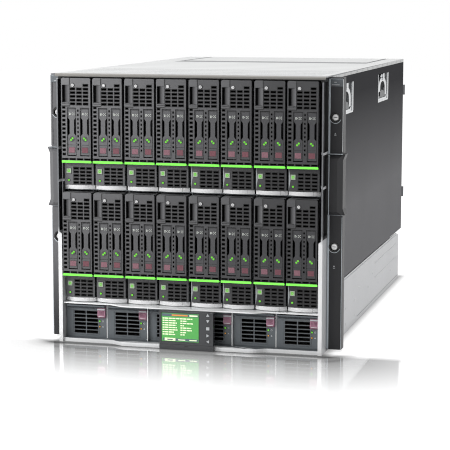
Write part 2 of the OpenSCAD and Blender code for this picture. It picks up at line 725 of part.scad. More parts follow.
// Two management modules between the fans and the switches.
module management_modules() {
    half = body_w / 2 - panel_t;
    translate([0, face_y, 0]) for (side = [-1, 1]) {
        x = side > 0 ? [1, half - 1] : [-half + 1, -1];
        z = manager_z - seat;
        color("gray") difference() {
            box(x, [rear_front + 4, body_d], [z, z + manager_h - 1]);
            for (p = [0 : 3])
                box([x[0] + 60 + p * 24, x[0] + 74 + p * 24], [body_d - 12, body_d + 1],
                    [z + 5, z + 15]);
        }
        color("maroon") box([x[1] - 22, x[1] - 12], [body_d, body_d + 8], [z + 4, z + manager_h - 5]);
    }
}

// Board behind the power supplies with a socket for each.
module power_backplane() {
    y = [backplane_y - 3, backplane_y];
    color("darkgreen") translate([0, face_y, 0])
        box([-bays_w / 2, bays_w / 2], y, [deck_z - deck_t, ceiling_z]);
    color("black") translate([0, face_y, 0]) for (i = [0 : SUPPLIES - 1])
        translate([psu_x(i) + psu_clear, 0, 0])
            box([psu_w / 2 - 22, psu_w / 2 + 22], [psu_setback + psu_d + 4 + seat, y[0]],
                [psu_z[0] + 10, psu_z[1] - 10]);
}

// Inlet socket size
socket_w = 30;
socket_h = 22;
socket_d = 20;

// Six mains inlets in the rear of the lower housing.
module power_inlets() {
    z = [panel_t, base_h - 14];
    mid = base_h / 2 - 3.5;
    color("darkgray") translate([0, face_y, 0]) for (i = [0 : SUPPLIES - 1]) {
        c = psu_x(i) + psu_pitch / 2;
        difference() {
            box([c - psu_pitch / 2 + 1, c + psu_pitch / 2 - 1], [backplane_y, base_d], z);
            box([c - socket_w / 2, c + socket_w / 2], [base_d - socket_d, base_d + 1],
                [mid - socket_h / 2, mid + socket_h / 2]);
        }
    }
    color("gold") translate([0, face_y, 0]) for (i = [0 : SUPPLIES - 1], p = [[-8, -3], [8, -3], [0, 4]])
        translate([psu_x(i) + psu_pitch / 2, 0, mid])
            box([p[0] - 1, p[0] + 1], [base_d - socket_d, base_d - 6], [p[1] - 3.5, p[1] + 3.5]);
}

// ---------------------------------------------------------------- ears, screws, brackets

ear_x = [frame_half + seat, body_w / 2 + ear_w];
ear_z = [3.6, body_h - cover_t - seat];
grip_bar_z = [body_h / 2 + 0.9, body_h / 2 + 97.9];
screw_hole_z = [body_h / 2 - 50.9, body_h / 2 + 155.5];
screw_x = rack_hole_pitch / 2;
well_r = 8;
well_d = 7;

// Plan of an ear on the right: rounded outer front edge.
module ear_plan() {
    r = 4;
    x0 = ear_x[0];
    x1 = ear_x[1];
    translate([x0, ear_setback]) square([x1 - x0 - r, ear_d]);
    translate([x0, ear_setback + r]) square([x1 - x0, ear_d - r]);
    translate([x1 - r, ear_setback + r]) circle(r, $fn = 48);
}

// Outline in (x, z) of the flared lip at one end of a grip bar.
module bar_lip(end, toward) {
    polygon([[ear_x[1] - 3, end + toward * 10], [ear_x[1] + bar_out, end + toward * 10],
        [ear_x[1] + lip_out, end + toward], [ear_x[1] + lip_out, end], [ear_x[1] - 3, end]]);
}

bar_out = 0.8;                         // how far a bar stands out beside its ear
lip_out = 4.3;
bar_fwd = 10;                          // how far it stands forward
module rack_ear() {
    x0 = ear_x[0];
    x1 = ear_x[1];
    back = ear_setback + ear_d;
    front = ear_setback - bar_fwd;
    color("#3c3c3c") translate([0, face_y, 0]) difference() {
        union() {
            difference() {
                translate([0, 0, ear_z[0]]) linear_extrude(ear_z[1] - ear_z[0]) ear_plan();
                // Shallow panel above the bar
                box([x0 + 3, x1 - 3.5], [ear_setback - 1, ear_setback + 1], [grip_bar_z[1] + 4, ear_z[1] - 4]);
            }
            // Bevelled bar
            intersection() {
                slab_x([x0, x1 + bar_out]) polygon([[back, grip_bar_z[0]], [back, grip_bar_z[1]],
                    [ear_setback - 2, grip_bar_z[1]], [front, grip_bar_z[1] - 8],
                    [front, grip_bar_z[0] + 6], [ear_setback - 4, grip_bar_z[0]]]);
                linear_extrude(body_h) polygon([[x0, front], [x1 - 7, front],
                    [x1 + bar_out, ear_setback - 3], [x1 + bar_out, back], [x0, back]]);
            }
            slab_y([ear_setback - 3, back - 2]) bar_lip(grip_bar_z[1], -1);
            slab_y([ear_setback - 3, back - 2]) bar_lip(grip_bar_z[0], 1);
        }
        for (z = screw_hole_z) {
            peg_y([screw_x, z], well_r, [ear_setback - 2, ear_setback + well_d]);
            peg_y([screw_x, z], shank_r + 0.2, [ear_setback, back + 1]);
        }
    }
}
module right_rack_ear() rack_ear();
module left_rack_ear() mirror([1, 0, 0]) rack_ear();

// Four captive thumbscrews, thinner where they pass the ear.
stud_r = 3;
shank_r = 2.4;
stud_reach = 12;
module rack_screws() {
    color("silver") both_sides() translate([0, face_y, 0]) for (z = screw_hole_z) {
        peg_y([screw_x, z], 4.8, [ear_setback + 1.2, ear_setback + well_d]);
        peg_y([screw_x, z], shank_r, [ear_setback + well_d, ear_setback + ear_d + seat]);
        peg_y([screw_x, z], stud_r, [ear_setback + ear_d + seat, ear_setback + ear_d + stud_reach]);
    }
}

// Bright sockets for lifting handles, two at each side.
module lift_brackets() {
    x0 = body_w / 2 - 7.4;
    x1 = body_w / 2;
    gap = seat;
    color("silver") both_sides() translate([0, face_y, 0]) for (y = lift_y) {
        inner = [y + gap, y + lift_w - gap];
        z = [lift_z[0] + gap, lift_z[1] - gap];
        box([x0, x0 + 1.2], inner, z);
        box([x0 + 1.2, x1], inner, [z[0], z[0] + 3]);
        box([x0 + 1.2, x1 + 0.4], [inner[1] - 9, inner[1]], [z[0] + 3, z[1]]);
        box([x0 + 1.2, x1], [inner[0], inner[0] + 4], [z[0] + 3, z[1]]);
        box([x0 + 1.2, x1 + 0.8], [(inner[0] + inner[1]) / 2 - 8, (inner[0] + inner[1]) / 2 + 8], [z[1] - 12, z[1]]);
        box([x0 + 1.2, x0 + 3], [inner[0] + 4, inner[1] - 9], [z[0] + 3, z[0] + 16]);
    }
}

// ---------------------------------------------------------------- drawing

base_housing();
left_side_panel();
right_side_panel();
top_cover();
front_frame();
power_bay_frame();
blade_cage();
midplane();
rear_cage();
left_rack_ear();
right_rack_ear();
lift_brackets();
rack_screws();
power_backplane();
fan_modules();
interconnect_modules();
management_modules();
power_inlets();
display_tray();
display_panel();
display_keys();
for (n = [1 : SUPPLIES])
    power_supply(n);
for (n = [1 : COLUMNS * ROWS]) {
    id = str(n < 10 ? "0" : "", n);
    blade(n);
    lever(n);
}
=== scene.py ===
"""Looks of a ten-unit blade server enclosure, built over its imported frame."""

from __future__ import annotations

import logging
import math
from dataclasses import dataclass
from enum import Enum
from typing import Callable, Sequence

import bmesh
import bpy
from mathutils import Matrix, Vector

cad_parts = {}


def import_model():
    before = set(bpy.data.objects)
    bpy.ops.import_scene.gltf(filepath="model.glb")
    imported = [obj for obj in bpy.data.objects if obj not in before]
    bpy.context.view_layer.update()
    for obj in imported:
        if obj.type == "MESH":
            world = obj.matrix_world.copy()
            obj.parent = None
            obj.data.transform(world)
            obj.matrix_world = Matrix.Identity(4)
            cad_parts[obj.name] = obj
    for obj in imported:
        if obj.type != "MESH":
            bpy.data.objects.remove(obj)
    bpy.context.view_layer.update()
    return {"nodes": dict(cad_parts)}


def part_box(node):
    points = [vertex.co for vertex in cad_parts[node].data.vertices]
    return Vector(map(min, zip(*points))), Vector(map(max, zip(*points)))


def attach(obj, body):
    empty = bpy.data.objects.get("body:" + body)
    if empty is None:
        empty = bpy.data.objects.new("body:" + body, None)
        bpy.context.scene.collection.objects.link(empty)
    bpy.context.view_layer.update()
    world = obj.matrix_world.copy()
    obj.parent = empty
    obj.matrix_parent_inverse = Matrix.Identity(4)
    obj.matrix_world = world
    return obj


log = logging.getLogger("enclosure")

MM = 0.001
COLUMNS = 8
SUPPLIES = 6

# Shape of the colour curve between a written code and a linear value
CURVE_KNEE, CURVE_SLOPE, CURVE_OFFSET, CURVE_POWER = 0.04045, 12.92, 0.055, 2.4

# How strongly the shared effects act on a coat
PATCH_SHARE = 0.6
GRAIN_SHARE, GRAIN_SHADE = 0.22, 0.72
RUB_GAIN, RUB_LIFT = 1.6, 0.05
DUST_ROUGHNESS = 0.3
BUMP_REACH = 0.0004
COAT_ROUGHNESS = 0.12
BRUSHED_STRETCH = 0.03

# Sharp edges from this angle on are eased, in degrees
EASE_ANGLE = 35

Point = tuple[float, float, float]
Pair = tuple[float, float]
Colour = tuple[float, float, float]
DUST_COLOUR: Colour = (0.62, 0.6, 0.57)
WHITE = (1.0, 1.0, 1.0, 1.0)


class Axis(Enum):
    """Direction that a brushed finish or a prism follows."""

    NONE = "none"
    X = "x"
    Y = "y"
    Z = "z"


def tone(code: str) -> Colour:
    """Turn a colour code such as "7c7c7e" into linear values.

    Args:
        code: Six hexadecimal digits.

    Returns:
        Red, green and blue from 0 to 1, linear.
    """
    values = [int(code[i : i + 2], 16) / 255 for i in (0, 2, 4)]
    red, green, blue = (
        v / CURVE_SLOPE if v <= CURVE_KNEE else ((v + CURVE_OFFSET) / (1 + CURVE_OFFSET)) ** CURVE_POWER
        for v in values
    )
    return red, green, blue


# ------------------------------------------------------------------ shader groups


class Graph:
    """A node tree with short ways to add and join its nodes."""

    def __init__(self, tree: bpy.types.NodeTree) -> None:
        """Keep the tree."""
        self.tree = tree

    def add(self, kind: str, values: dict | None = None, **settings: object) -> bpy.types.Node:
        """Add a node.

        Args:
            kind: Blender's node type.
            values: Socket name or number to a value or to another node's output.
            settings: The node's own properties.

        Returns:
            The new node.
        """
        node = self.tree.nodes.new(kind)
        for name, value in settings.items():
            setattr(node, name, value)
        for name, value in (values or {}).items():
            socket = node.inputs[name]
            if isinstance(value, bpy.types.NodeSocket):
                self.tree.links.new(value, socket)
            else:
                socket.default_value = value
        return node

    def group(self, tree: bpy.types.NodeTree, **values: object) -> bpy.types.Node:
        """Place a shared shader group with its own values.

        Args:
            tree: The group.
            values: Socket name to its value.

        Returns:
            The group's node.
        """
        node = self.add("ShaderNodeGroup", node_tree=tree)
        for name, value in values.items():
            node.inputs[name].default_value = value
        return node

    def math(self, operation: str, a: object, b: object = 0.0) -> bpy.types.NodeSocket:
        """Add a Math node and give its output."""
        return self.add("ShaderNodeMath", {0: a, 1: b}, operation=operation).outputs[0]

    def times(self, a: object, b: object) -> bpy.types.NodeSocket:
        """Multiply two values and give the result."""
        return self.math("MULTIPLY", a, b)

    def within(self, value: object, low: float, high: float) -> bpy.types.NodeSocket:
        """Give 1 where a value lies between two limits, and 0 elsewhere."""
        return self.times(self.math("GREATER_THAN", value, low), self.math("LESS_THAN", value, high))

    def object_place(self) -> bpy.types.NodeSocket:
        """Give the place on the surface in the object's own axes."""
        return self.add("ShaderNodeTexCoord").outputs["Object"]

    def object_axes(self) -> Sequence[bpy.types.NodeSocket]:
        """Give the place on the surface as three numbers in metres."""
        return self.add("ShaderNodeSeparateXYZ", {0: self.object_place()}).outputs

    def seen(self) -> bpy.types.NodeSocket:
        """Give 1 for rays from the camera, a mirror or through glass.

        Returns:
            1 for such a ray, else 0.
        """
        path = self.add("ShaderNodeLightPath")
        direct = self.math("MAXIMUM", path.outputs["Is Camera Ray"], path.outputs["Is Transmission Ray"])
        return self.math("MAXIMUM", direct, path.outputs["Is Glossy Ray"])

    def mix(self, share: object, a: object, b: object) -> bpy.types.NodeSocket:
        """Mix two colours.

        Args:
            share: Share of the second colour, from 0 to 1.
            a: First colour, or another node's output.
            b: Second colour, or another node's output.

        Returns:
            The mixed colour.
        """
        node = self.tree.nodes.new("ShaderNodeMix")
        node.data_type = "RGBA"
        for socket, value in zip((node.inputs[0], node.inputs[6], node.inputs[7]), (share, a, b)):
            if isinstance(value, bpy.types.NodeSocket):
                self.tree.links.new(value, socket)
            else:
                socket.default_value = (*value[:3], 1.0) if isinstance(value, tuple) else value
        return node.outputs[2]

    def ramp(self, value: object, low: float, high: float, to: Pair = (0.0, 1.0)) -> bpy.types.NodeSocket:
        """Map a value from one range to another, clamped.

        Args:
            value: The value, or another node's output.
            low: Start of its range.
            high: End of its range.
            to: What the two ends become.

        Returns:
            The mapped value.
        """
        values = {0: value, 1: low, 2: high, 3: to[0], 4: to[1]}
        return self.add("ShaderNodeMapRange", values, clamp=True).outputs[0]


def new_group(name: str, inputs: dict[str, tuple[str, object]], outputs: dict[str, str]) -> tuple[
    Graph, bpy.types.Node, bpy.types.Node
]:
    """Start a shader group with named sockets.

    Args:
        name: Name of the group.
        inputs: Socket name to its type and first value.
        outputs: Socket name to its type.

    Returns:
        The graph, its input node and its output node.
    """
    tree = bpy.data.node_groups.new(name, "ShaderNodeTree")
    for label, (kind, value) in inputs.items():
        socket = tree.interface.new_socket(label, in_out="INPUT", socket_type=kind)
        socket.default_value = value
    for label, kind in outputs.items():
        tree.interface.new_socket(label, in_out="OUTPUT", socket_type=kind)
    graph = Graph(tree)
    return graph, graph.add("NodeGroupInput"), graph.add("NodeGroupOutput")


FLOAT, VECTOR, COLOUR = "NodeSocketFloat", "NodeSocketVector", "NodeSocketColor"


class Effects:
    """Shader groups that several finishes share, each built once."""

    def __init__(self) -> None:
        """Build the groups."""
        self.grain = self._grain()
        self.patches = self._patches()
        self.dust = self._dust()
        self.wear = self._wear()

    def _grain(self) -> bpy.types.NodeTree:
        """Powder-coat or brushed grain: a height and a mask.

        Returns:
            The group.
        """
        g, start, end = new_group(
            "fine_grain",
            {"Scale": (FLOAT, 2000.0), "Stretch": (VECTOR, (1.0, 1.0, 1.0))},
            {"Mask": FLOAT, "Height": FLOAT},
        )
        place = g.object_place()
        stretched = g.add(
            "ShaderNodeVectorMath", {0: place, 1: start.outputs["Stretch"]}, operation="MULTIPLY"
        )
        fine = g.add(
            "ShaderNodeTexNoise",
            {
                "Vector": stretched.outputs[0],
                "Scale": start.outputs["Scale"],
                "Detail": 3.0,
                "Roughness": 0.6,
            },
        )
        coarse_scale, fine_share = g.times(start.outputs["Scale"], 0.21), 0.65
        coarse = g.add(
            "ShaderNodeTexNoise", {"Vector": stretched.outputs[0], "Scale": coarse_scale, "Detail": 2.0}
        )
        both = g.math("ADD", g.times(fine.outputs[0], fine_share), g.times(coarse.outputs[0], 1 - fine_share))
        g.tree.links.new(g.ramp(both, 0.3, 0.7), end.inputs["Mask"])
        g.tree.links.new(both, end.inputs["Height"])
        return g.tree

    def _patches(self) -> bpy.types.NodeTree:
        """Broad cloudy variation of a coat or a moulding.

        Returns:
            The group.
        """
        g, start, end = new_group(
            "broad_patches", {"Scale": (FLOAT, 14.0), "Contrast": (FLOAT, 1.0)}, {"Mask": FLOAT}
        )
        place = g.object_place()
        cloud = g.add(
            "ShaderNodeTexNoise",
            {
                "Vector": place,
                "Scale": start.outputs["Scale"],
                "Detail": 5.0,
                "Roughness": 0.55,
                "Distortion": 0.4,
            },
        )
        centred = g.math("SUBTRACT", cloud.outputs[0], 0.5)
        spread = g.times(centred, g.times(start.outputs["Contrast"], 2.2))
        g.tree.links.new(g.ramp(g.math("ADD", spread, 0.5), 0.0, 1.0), end.inputs["Mask"])
        return g.tree

    def _dust(self) -> bpy.types.NodeTree:
        """Thin dust that settles on faces that look up.

        Returns:
            The group.
        """
        g, start, end = new_group("settled_dust", {"Amount": (FLOAT, 0.1)}, {"Mask": FLOAT})
        up = g.add("ShaderNodeSeparateXYZ", {0: g.add("ShaderNodeNewGeometry").outputs["Normal"]}).outputs[2]
        place = g.object_place()
        cloud = g.add("ShaderNodeTexNoise", {"Vector": place, "Scale": 60.0, "Detail": 6.0, "Roughness": 0.7})
        flat = g.ramp(up, 0.5, 1.0)
        speck = g.ramp(cloud.outputs[0], 0.42, 0.72)
        g.tree.links.new(g.times(g.times(flat, speck), start.outputs["Amount"]), end.inputs["Mask"])
        return g.tree

    def _wear(self) -> bpy.types.NodeTree:
        """Fine rubbed scratches, mostly along one direction.

        Returns:
            The group.
        """
        g, start, end = new_group(
            "rubbed_marks", {"Stretch": (VECTOR, (1.0, 1.0, 8.0)), "Amount": (FLOAT, 0.3)}, {"Mask": FLOAT}
        )
        place = g.object_place()
        stretched = g.add(
            "ShaderNodeVectorMath", {0: place, 1: start.outputs["Stretch"]}, operation="MULTIPLY"
        ).outputs[0]
        lines = g.add(
            "ShaderNodeTexNoise", {"Vector": stretched, "Scale": 260.0, "Detail": 4.0, "Roughness": 0.8}
        )
        where = g.add("ShaderNodeTexNoise", {"Vector": place, "Scale": 22.0, "Detail": 2.0})
        marks = g.times(g.ramp(lines.outputs[0], 0.6, 0.72), g.ramp(where.outputs[0], 0.45, 0.65))
        g.tree.links.new(g.times(marks, start.outputs["Amount"]), end.inputs["Mask"])
        return g.tree


# ------------------------------------------------------------------ finishes


@dataclass(frozen=True)
class Finish:
    """A coat, plating or moulding with its grain, patches, dust and rubbed marks."""

    name: str
    slot: str
    colour: Colour
    second: Colour
    roughness: Pair = (0.4, 0.55)
    metallic: float = 0.0
    coat: float = 0.0
    shine: float = 0.4
    grain_scale: float = 1800.0
    grain_depth: float = 0.04
    brushed: Axis = Axis.NONE
    patch_scale: float = 14.0
    dust: float = 0.08
    wear: float = 0.15
    glow: float = 0.0

    def material(self, effects: Effects) -> bpy.types.Material:
        """Build the material, or give the one built before.

        Args:
            effects: The shared shader groups.

        Returns:
            The material.
        """
        known = bpy.data.materials.get(self.name)
        if known:
            return known
        made = bpy.data.materials.new(self.name)
        made.use_nodes = True
        g = Graph(made.node_tree)
        shader = made.node_tree.nodes["Principled BSDF"]
        self.wire(g, shader, effects)
        return made

    def stretch(self) -> Point:
        """Give how the grain is drawn out along the brushing.

        Returns:
            Scale of the grain along each axis.
        """
        long, short = BRUSHED_STRETCH, 1.0
        return {
            Axis.NONE: (short, short, short),
            Axis.X: (long, short, short),
            Axis.Y: (short, long, short),
            Axis.Z: (short, short, long),
        }[self.brushed]

    def wire(self, g: Graph, shader: bpy.types.Node, effects: Effects) -> None:
        """Join the shared groups to the shader's sockets.

        Args:
            g: The material's graph.
            shader: Its Principled BSDF.
            effects: The shared shader groups.
        """
        links = g.tree.links
        grain = g.group(effects.grain, Scale=self.grain_scale, Stretch=self.stretch())
        patches = g.group(effects.patches, Scale=self.patch_scale)
        dust = g.group(effects.dust, Amount=self.dust)
        wear = g.group(effects.wear, Amount=self.wear)
        shaded = tuple(c * GRAIN_SHADE for c in self.colour)
        bare = tuple(min(1.0, c * RUB_GAIN + RUB_LIFT) for c in self.colour)
        mixed = g.mix(g.times(patches.outputs[0], PATCH_SHARE), self.colour, self.second)
        fine = g.mix(g.times(grain.outputs["Mask"], GRAIN_SHARE), mixed, shaded)
        rubbed = g.mix(wear.outputs[0], fine, bare)
        dusty = g.mix(dust.outputs[0], rubbed, DUST_COLOUR)
        links.new(self.pattern(g, dusty), shader.inputs["Base Color"])
        low, high = self.roughness
        rough = g.add("ShaderNodeMapRange", {0: grain.outputs["Mask"], 3: low, 4: high}).outputs[0]
        duller = g.times(dust.outputs[0], DUST_ROUGHNESS)
        links.new(g.math("ADD", rough, duller), shader.inputs["Roughness"])
        relief = {"Strength": self.grain_depth, "Distance": BUMP_REACH, "Height": grain.outputs["Height"]}
        links.new(g.add("ShaderNodeBump", relief).outputs[0], shader.inputs["Normal"])
        shader.inputs["Metallic"].default_value = self.metallic
        shader.inputs["Specular IOR Level"].default_value = self.shine
        shader.inputs["Coat Weight"].default_value = self.coat
        shader.inputs["Coat Roughness"].default_value = COAT_ROUGHNESS
        if self.glow:
            links.new(self.pattern(g, mixed), shader.inputs["Emission Color"])
            shader.inputs["Emission Strength"].default_value = self.glow

    def pattern(self, g: Graph, base: bpy.types.NodeSocket) -> bpy.types.NodeSocket:
        """Give the colour, with any pattern of this finish's own laid over it.

        Args:
            g: The material's graph; not used here.
            base: Colour without the pattern.

        Returns:
            Colour with the pattern.
        """
        return base


@dataclass(frozen=True)
class HatchedFinish(Finish):
    """A moulding with a fine square hatch over it."""

    pitch: float = 0.9
    hatch: Colour = (0.1, 0.1, 0.1)

    def pattern(self, g: Graph, base: bpy.types.NodeSocket) -> bpy.types.NodeSocket:
        """Lay the hatch over the colour.

        Args:
            g: The material's graph.
            base: Colour without the pattern.

        Returns:
            Colour with the pattern.
        """
        place = g.object_axes()
        lines = []
        for axis in (0, 2):
            wave = g.math("PINGPONG", g.times(place[axis], 1 / (self.pitch * MM)), 0.5)
            lines.append(g.ramp(wave, 0.08, 0.2))
        return g.mix(g.times(lines[0], lines[1]), self.hatch, base)


@dataclass(frozen=True)
class PaintedGradientFinish(Finish):
    """A coat with painted light and shade: it turns into another colour between two places along an axis."""

    painted_end: Colour = (0.1, 0.1, 0.1)
    between: Pair = (300.0, 430.0)
    axis: int = 2

    def pattern(self, g: Graph, base: bpy.types.NodeSocket) -> bpy.types.NodeSocket:
        """Mix the painted end colour in along the axis.

        Args:
            g: The material's graph.
            base: Colour without the pattern.

        Returns:
            Colour with the pattern.
        """
        start, end = (v * MM for v in self.between)
        return g.mix(g.ramp(g.object_axes()[self.axis], start, end), base, self.painted_end)


@dataclass(frozen=True)
class PaintedShadeSweepFinish(Finish):
    """A moulding with painted shade: it darkens across the front and towards the lower row."""

    # far and low are painted shade, where the light falls off to the right and on the lower row
    far: Colour = (0.06, 0.06, 0.06)
    low: Colour = (0.03, 0.03, 0.03)
    across: Pair = (-215.0, 150.0)
    down: Pair = (330.0, 150.0)
    low_shade_share: float = 0.34

    def pattern(self, g: Graph, base: bpy.types.NodeSocket) -> bpy.types.NodeSocket:
        """Mix the painted shade in: darker colours to the right and downwards.

        Args:
            g: The material's graph.
            base: Colour without the pattern.

        Returns:
            Colour with the pattern.
        """
        place = g.object_axes()
        shaded_across = g.mix(g.ramp(place[0], self.across[0] * MM, self.across[1] * MM), base, self.far)
        lower = g.ramp(place[2], self.down[0] * MM, self.down[1] * MM, (0.0, self.low_shade_share))
        return g.mix(lower, shaded_across, self.low)


@dataclass(frozen=True)
class PaintedShadePressFinish(Finish):
    """A cover's coat with painted shade on its front and along soft pressed lines, and a dark lid seam."""

    shade: Colour = (0.2, 0.2, 0.2)
    front: float = -397.9
    edge: Pair = (6.0, 32.0)
    edge_shade_share: float = 0.62
    line_pitch: float = 27.0
    line_width: float = 11.0
    line_shade_share: float = 0.3
    seam_y: Pair = (530.0, 582.0)
    seam_x: Pair = (-175.0, 190.0)
    seam_half: float = 4.0
    seam_share: float = 0.95

    def pattern(self, g: Graph, base: bpy.types.NodeSocket) -> bpy.types.NodeSocket:
        """Paint shade on the front edge and the pressed lines, and darken the seam round the lid.

        Args:
            g: The material's graph.
            base: Colour without the pattern.

        Returns:
            Colour with the pattern.
        """
        x, y, _ = g.object_axes()
        back = g.math("SUBTRACT", y, self.front * MM)
        edge = g.ramp(back, self.edge[0] * MM, self.edge[1] * MM, (self.edge_shade_share, 0.0))
        wave = g.math("PINGPONG", back, self.line_pitch * MM)
        share = g.math("MAXIMUM", edge, g.ramp(wave, 0.0, self.line_width * MM, (self.line_shade_share, 0.0)))
        left, right, half = self.seam_x[0] * MM, self.seam_x[1] * MM, self.seam_half * MM
        lid = g.times(
            g.math("GREATER_THAN", back, self.seam_y[0] * MM), g.within(x, left - half, right + half)
        )
        core = g.times(
            g.within(x, left + half, right - half), g.math("GREATER_THAN", back, self.seam_y[1] * MM)
        )
        seam = g.times(g.math("SUBTRACT", lid, core), self.seam_share)
        return g.mix(g.math("MAXIMUM", share, seam), base, self.shade)


@dataclass(frozen=True)
class PaintedShadeBandFinish(Finish):
    """A bright coat with painted shade: dark above a height, but for its crossbars."""

    dark: Colour = (0.01, 0.01, 0.01)
    above: float = 185.0
    bars: tuple[Pair, ...] = ((265.0, 269.0), (319.0, 323.0))

    def pattern(self, g: Graph, base: bpy.types.NodeSocket) -> bpy.types.NodeSocket:
        """Lay the painted shade bands over the colour.

        Args:
            g: The material's graph.
            base: Colour without the pattern.

        Returns:
            Colour with the pattern.
        """
        height = g.object_axes()[2]
        share = g.math("GREATER_THAN", height, self.above * MM)
        for low, high in self.bars:
            share = g.math("SUBTRACT", share, g.within(height, low * MM, high * MM))
        return g.mix(share, base, self.dark)


@dataclass(frozen=True)
class Palette:
    """Every finish of the enclosure."""

    # Painted shade: the blade fronts darken to the right and on the lower row
    face: Finish = PaintedShadeSweepFinish(
        "blade_face_grey",
        "blade_dark",
        tone("6c6c6e"),
        tone("5e5e60"),
        (0.38, 0.55),
        0.1,
        wear=0.05,
        far=tone("343436"),
        low=tone("1e1e20"),
    )
    face_edge: Finish = Finish("blade_rim_black", "blade_dark", tone("2a2a2c"), tone("202022"), (0.45, 0.6))
    # Painted shade in the finger recess: black at the deep left, grey towards the shallow right
    scoop: Finish = PaintedGradientFinish(
        "scoop_grey",
        "blade_dark",
        tone("070707"),
        tone("050505"),
        (0.5, 0.65),
        shine=0.1,
        wear=0.0,
        dust=0.0,
        painted_end=tone("6a6a6c"),
        between=(3.4, 12.6),
        axis=0,
    )
    # Painted shade: the grips darken to the right and on the lower row
    grip: Finish = PaintedShadeSweepFinish(
        "grip_grey",
        "blade_dark",
        tone("707072"),
        tone("626264"),
        (0.35, 0.5),
        wear=0.08,
        far=tone("4c4c4e"),
        low=tone("38383a"),
    )
    # Painted shade: black for faces inside openings and recesses, where light does not reach
    hollow_shade: Finish = Finish(
        "painted_shade_black", "blade_dark", tone("101011"), tone("0b0b0c"), (0.6, 0.8), wear=0.0, dust=0.02
    )
    sleeve: Finish = Finish(
        "sleeve_zinc",
        "blade_dark",
        tone("8d9092"),
        tone("7b7e80"),
        (0.3, 0.5),
        0.8,
        brushed=Axis.Y,
        grain_scale=900,
    )
    # Painted shade: the drive carriers darken to the right and on the lower row
    carrier: Finish = PaintedShadeSweepFinish(
        "carrier_grey",
        "blade_dark",
        tone("6c6c6e"),
        tone("5e5e60"),
        (0.3, 0.45),
        wear=0.04,
        far=tone("37373a"),
        low=tone("262628"),
    )
    ring: Finish = Finish("lamp_ring_dark", "blade_dark", tone("4a4b4c"), tone("3e3f40"), (0.3, 0.4))
    eject: Finish = HatchedFinish(
        "eject_pink",
        "blade_dark",
        tone("8a646d"),
        tone("805a64"),
        (0.4, 0.55),
        hatch=tone("744c57"),
        pitch=1.5,
    )
    # Painted shade: the right drive's release button is a darker copy of the same pink
    eject_painted_shade: Finish = HatchedFinish(
        "eject_pink_painted_shade",
        "blade_dark",
        tone("77484f"),
        tone("6c3f49"),
        (0.4, 0.55),
        hatch=tone("5e3540"),
        pitch=1.5,
    )
    strip: Finish = Finish(
        "light_strip_green", "blade_dark", tone("70e048"), tone("80ea5a"), (0.3, 0.4), glow=0.55, wear=0.0
    )
    lamp: Finish = Finish(
        "lamp_green", "blade_dark", tone("5cb82a"), tone("70c836"), (0.25, 0.35), glow=0.35, wear=0.0
    )
    amber: Finish = Finish(
        "lamp_amber", "supply_grey", tone("c98a2a"), tone("e0a040"), (0.25, 0.35), glow=0.3, wear=0.0
    )
    button: Finish = Finish(
        "button_pale", "blade_dark", tone("a4b49c"), tone("94a48c"), (0.3, 0.45), glow=0.08, wear=0.0
    )
    mark: Finish = Finish("mark_pale", "blade_dark", tone("c4c8c2"), tone("b0b4ae"), (0.3, 0.45), wear=0.0)
    seam: Finish = Finish("seam_black", "blade_dark", tone("161617"), tone("101011"), (0.5, 0.7), wear=0.0)
    screw: Finish = Finish("screw_nickel", "lever_silver", tone("dcdcdc"), tone("c4c4c4"), (0.25, 0.4), 0.6)
    board: Finish = Finish(
        "board_green", "board_green", tone("1f5a36"), tone("184a2c"), (0.4, 0.55), patch_scale=60
    )
    sink: Finish = Finish(
        "sink_aluminium", "cage_steel", tone("b4b6b8"), tone("a2a4a6"), (0.35, 0.5), 0.9, brushed=Axis.Y
    )
    plug: Finish = Finish("plug_black", "cage_steel", tone("1c1c1e"), tone("151516"), (0.4, 0.55))
    lever: Finish = Finish(
        "lever_bright",
        "lever_silver",
        tone("e2e2e3"),
        tone("d6d6d7"),
        (0.3, 0.45),
        0.05,
        brushed=Axis.X,
        grain_scale=1200,
        wear=0.12,
    )
    housing: Finish = Finish(
        "housing_pale_grey", "housing_light", tone("cbccce"), tone("c2c3c5"), (0.38, 0.52), 0.15, wear=0.08
    )
    # Painted light and shade on the side panels: lighter low down, dark towards the top
    panel: Finish = PaintedGradientFinish(
        "panel_charcoal",
        "panel_dark",
        tone("88888a"),
        tone("808082"),
        (0.42, 0.55),
        0.0,
        shine=0.0,
        wear=0.02,
        dust=0.02,
        patch_scale=5,
        painted_end=tone("48484a"),
        between=(215.0, 405.0),
    )
    # Painted shade on the cover's front edge and along its pressed lines
    cover: Finish = PaintedShadePressFinish(
        "cover_pale",
        "cover_white",
        tone("d4d5d5"),
        tone("cacbcb"),
        (0.4, 0.55),
        0.1,
        shine=0.25,
        wear=0.04,
        shade=tone("77787a"),
    )
    # Painted shade on the cover's front lip: dark below, lighter towards its top edge
    nose: Finish = PaintedGradientFinish(
        "cover_nose_grey",
        "cover_white",
        tone("3e3c39"),
        tone("353330"),
        (0.4, 0.52),
        0.1,
        shine=0.2,
        brushed=Axis.X,
        grain_scale=1100,
        painted_end=tone("8c8a86"),
        between=(434.5, 441.6),
    )
    # Painted shade: the walls of the cover's grooves are darker grey
    groove_painted_shade: Finish = Finish(
        "cover_groove_shade_grey", "cover_white", tone("8c8e90"), tone("808284"), (0.4, 0.55), 0.05
    )
    # Painted shade: the frame's bright front turns grey towards the top
    frame: Finish = PaintedGradientFinish(
        "frame_brushed",
        "frame_silver",
        tone("ececed"),
        tone("e0e0e1"),
        (0.3, 0.45),
        0.1,
        brushed=Axis.Z,
        grain_scale=1000,
        painted_end=tone("6e7073"),
        between=(178.0, 192.0),
    )
